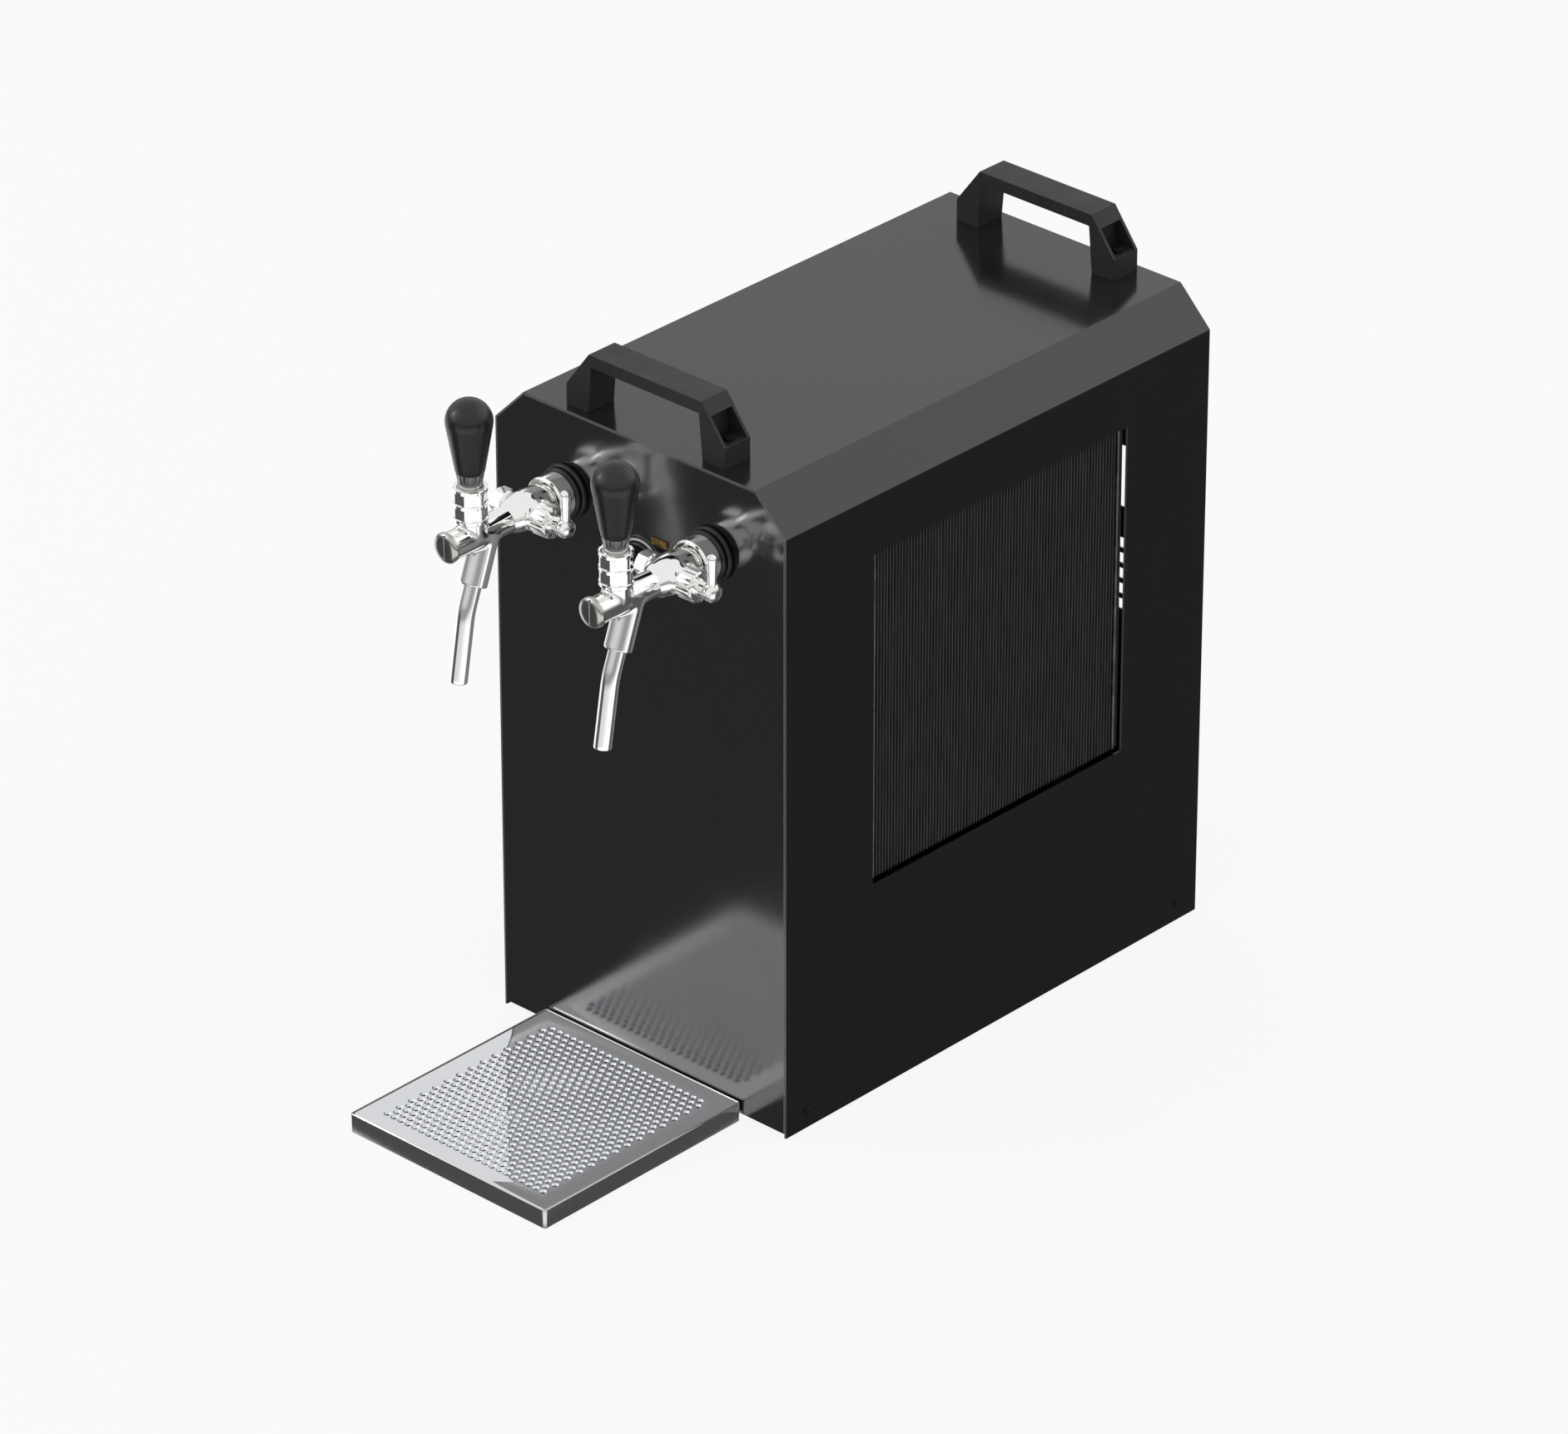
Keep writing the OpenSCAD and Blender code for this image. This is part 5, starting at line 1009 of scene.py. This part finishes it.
seen_level = add(world, "ShaderNodeMix",
                 {"Factor": ray.outputs["Is Camera Ray"], "A": level.outputs["Result"], "B": PAPER},
                 data_type="FLOAT")
room = add(world, "ShaderNodeBackground", {"Strength": seen_level.outputs["Result"]})
add(world, "ShaderNodeOutputWorld", {"Surface": room.outputs["Background"]})
print("room level for plain light:", PLAIN_LEVEL)


# %% Lamp
def soft_lamp(name, way, far, width, height, radiance, target=(0, 0, 0.25)):
    """A rectangular lamp that faces the cooler, as bright as its radiance says."""
    lamp = bpy.data.lights.new(name, "AREA")
    lamp.shape, lamp.size, lamp.size_y = "RECTANGLE", width, height
    lamp.energy = radiance * math.pi * width * height
    made = bpy.data.objects.new(name, lamp)
    bpy.context.scene.collection.objects.link(made)
    towards = Vector(way).normalized()
    made.location = Vector(target) + towards * far
    made.rotation_euler = towards.to_track_quat("Z", "Y").to_euler()
    made.visible_camera = False
    return made


soft_lamp("wide_softbox", (-0.60, -0.64, 0.48), 3.2, 2.2, 2.2, 0.6)
soft_lamp("small_lamp", (-0.70, -0.55, 0.46), 3.0, 0.4, 0.5, 9.0)
soft_lamp("rear_softbox", (0.48, 0.64, 0.60), 3.2, 2.4, 2.4, 0.5)

# %% [markdown]
# ## Camera
# The camera stands far off in front on the right and looks down on the cooler through a long lens, so
# that its edges stay almost parallel.

# %% Place the camera
camera = bpy.data.objects.new("camera", bpy.data.cameras.new("camera"))
bpy.context.scene.collection.objects.link(camera)
bpy.context.scene.camera = camera
camera.location = (3.4348, -3.68435, 2.976)
azimuth, elevation = math.radians(42.891), math.radians(28.704)
camera.rotation_euler = (math.pi / 2 - elevation, 0, azimuth)
camera.data.sensor_width, camera.data.sensor_fit = 36.0, "HORIZONTAL"
camera.data.lens = 201.38
camera.data.clip_end = 60.0
bpy.context.scene.view_settings.view_transform = "Standard"
looks = camera.rotation_euler.to_matrix() @ Vector((0, 0, -1))
print("camera looks along", tuple(round(v, 3) for v in looks))

# %% [markdown]
# ## Done
# The last cell says that the dressing is done.

# %% Finish
print("dressing done")
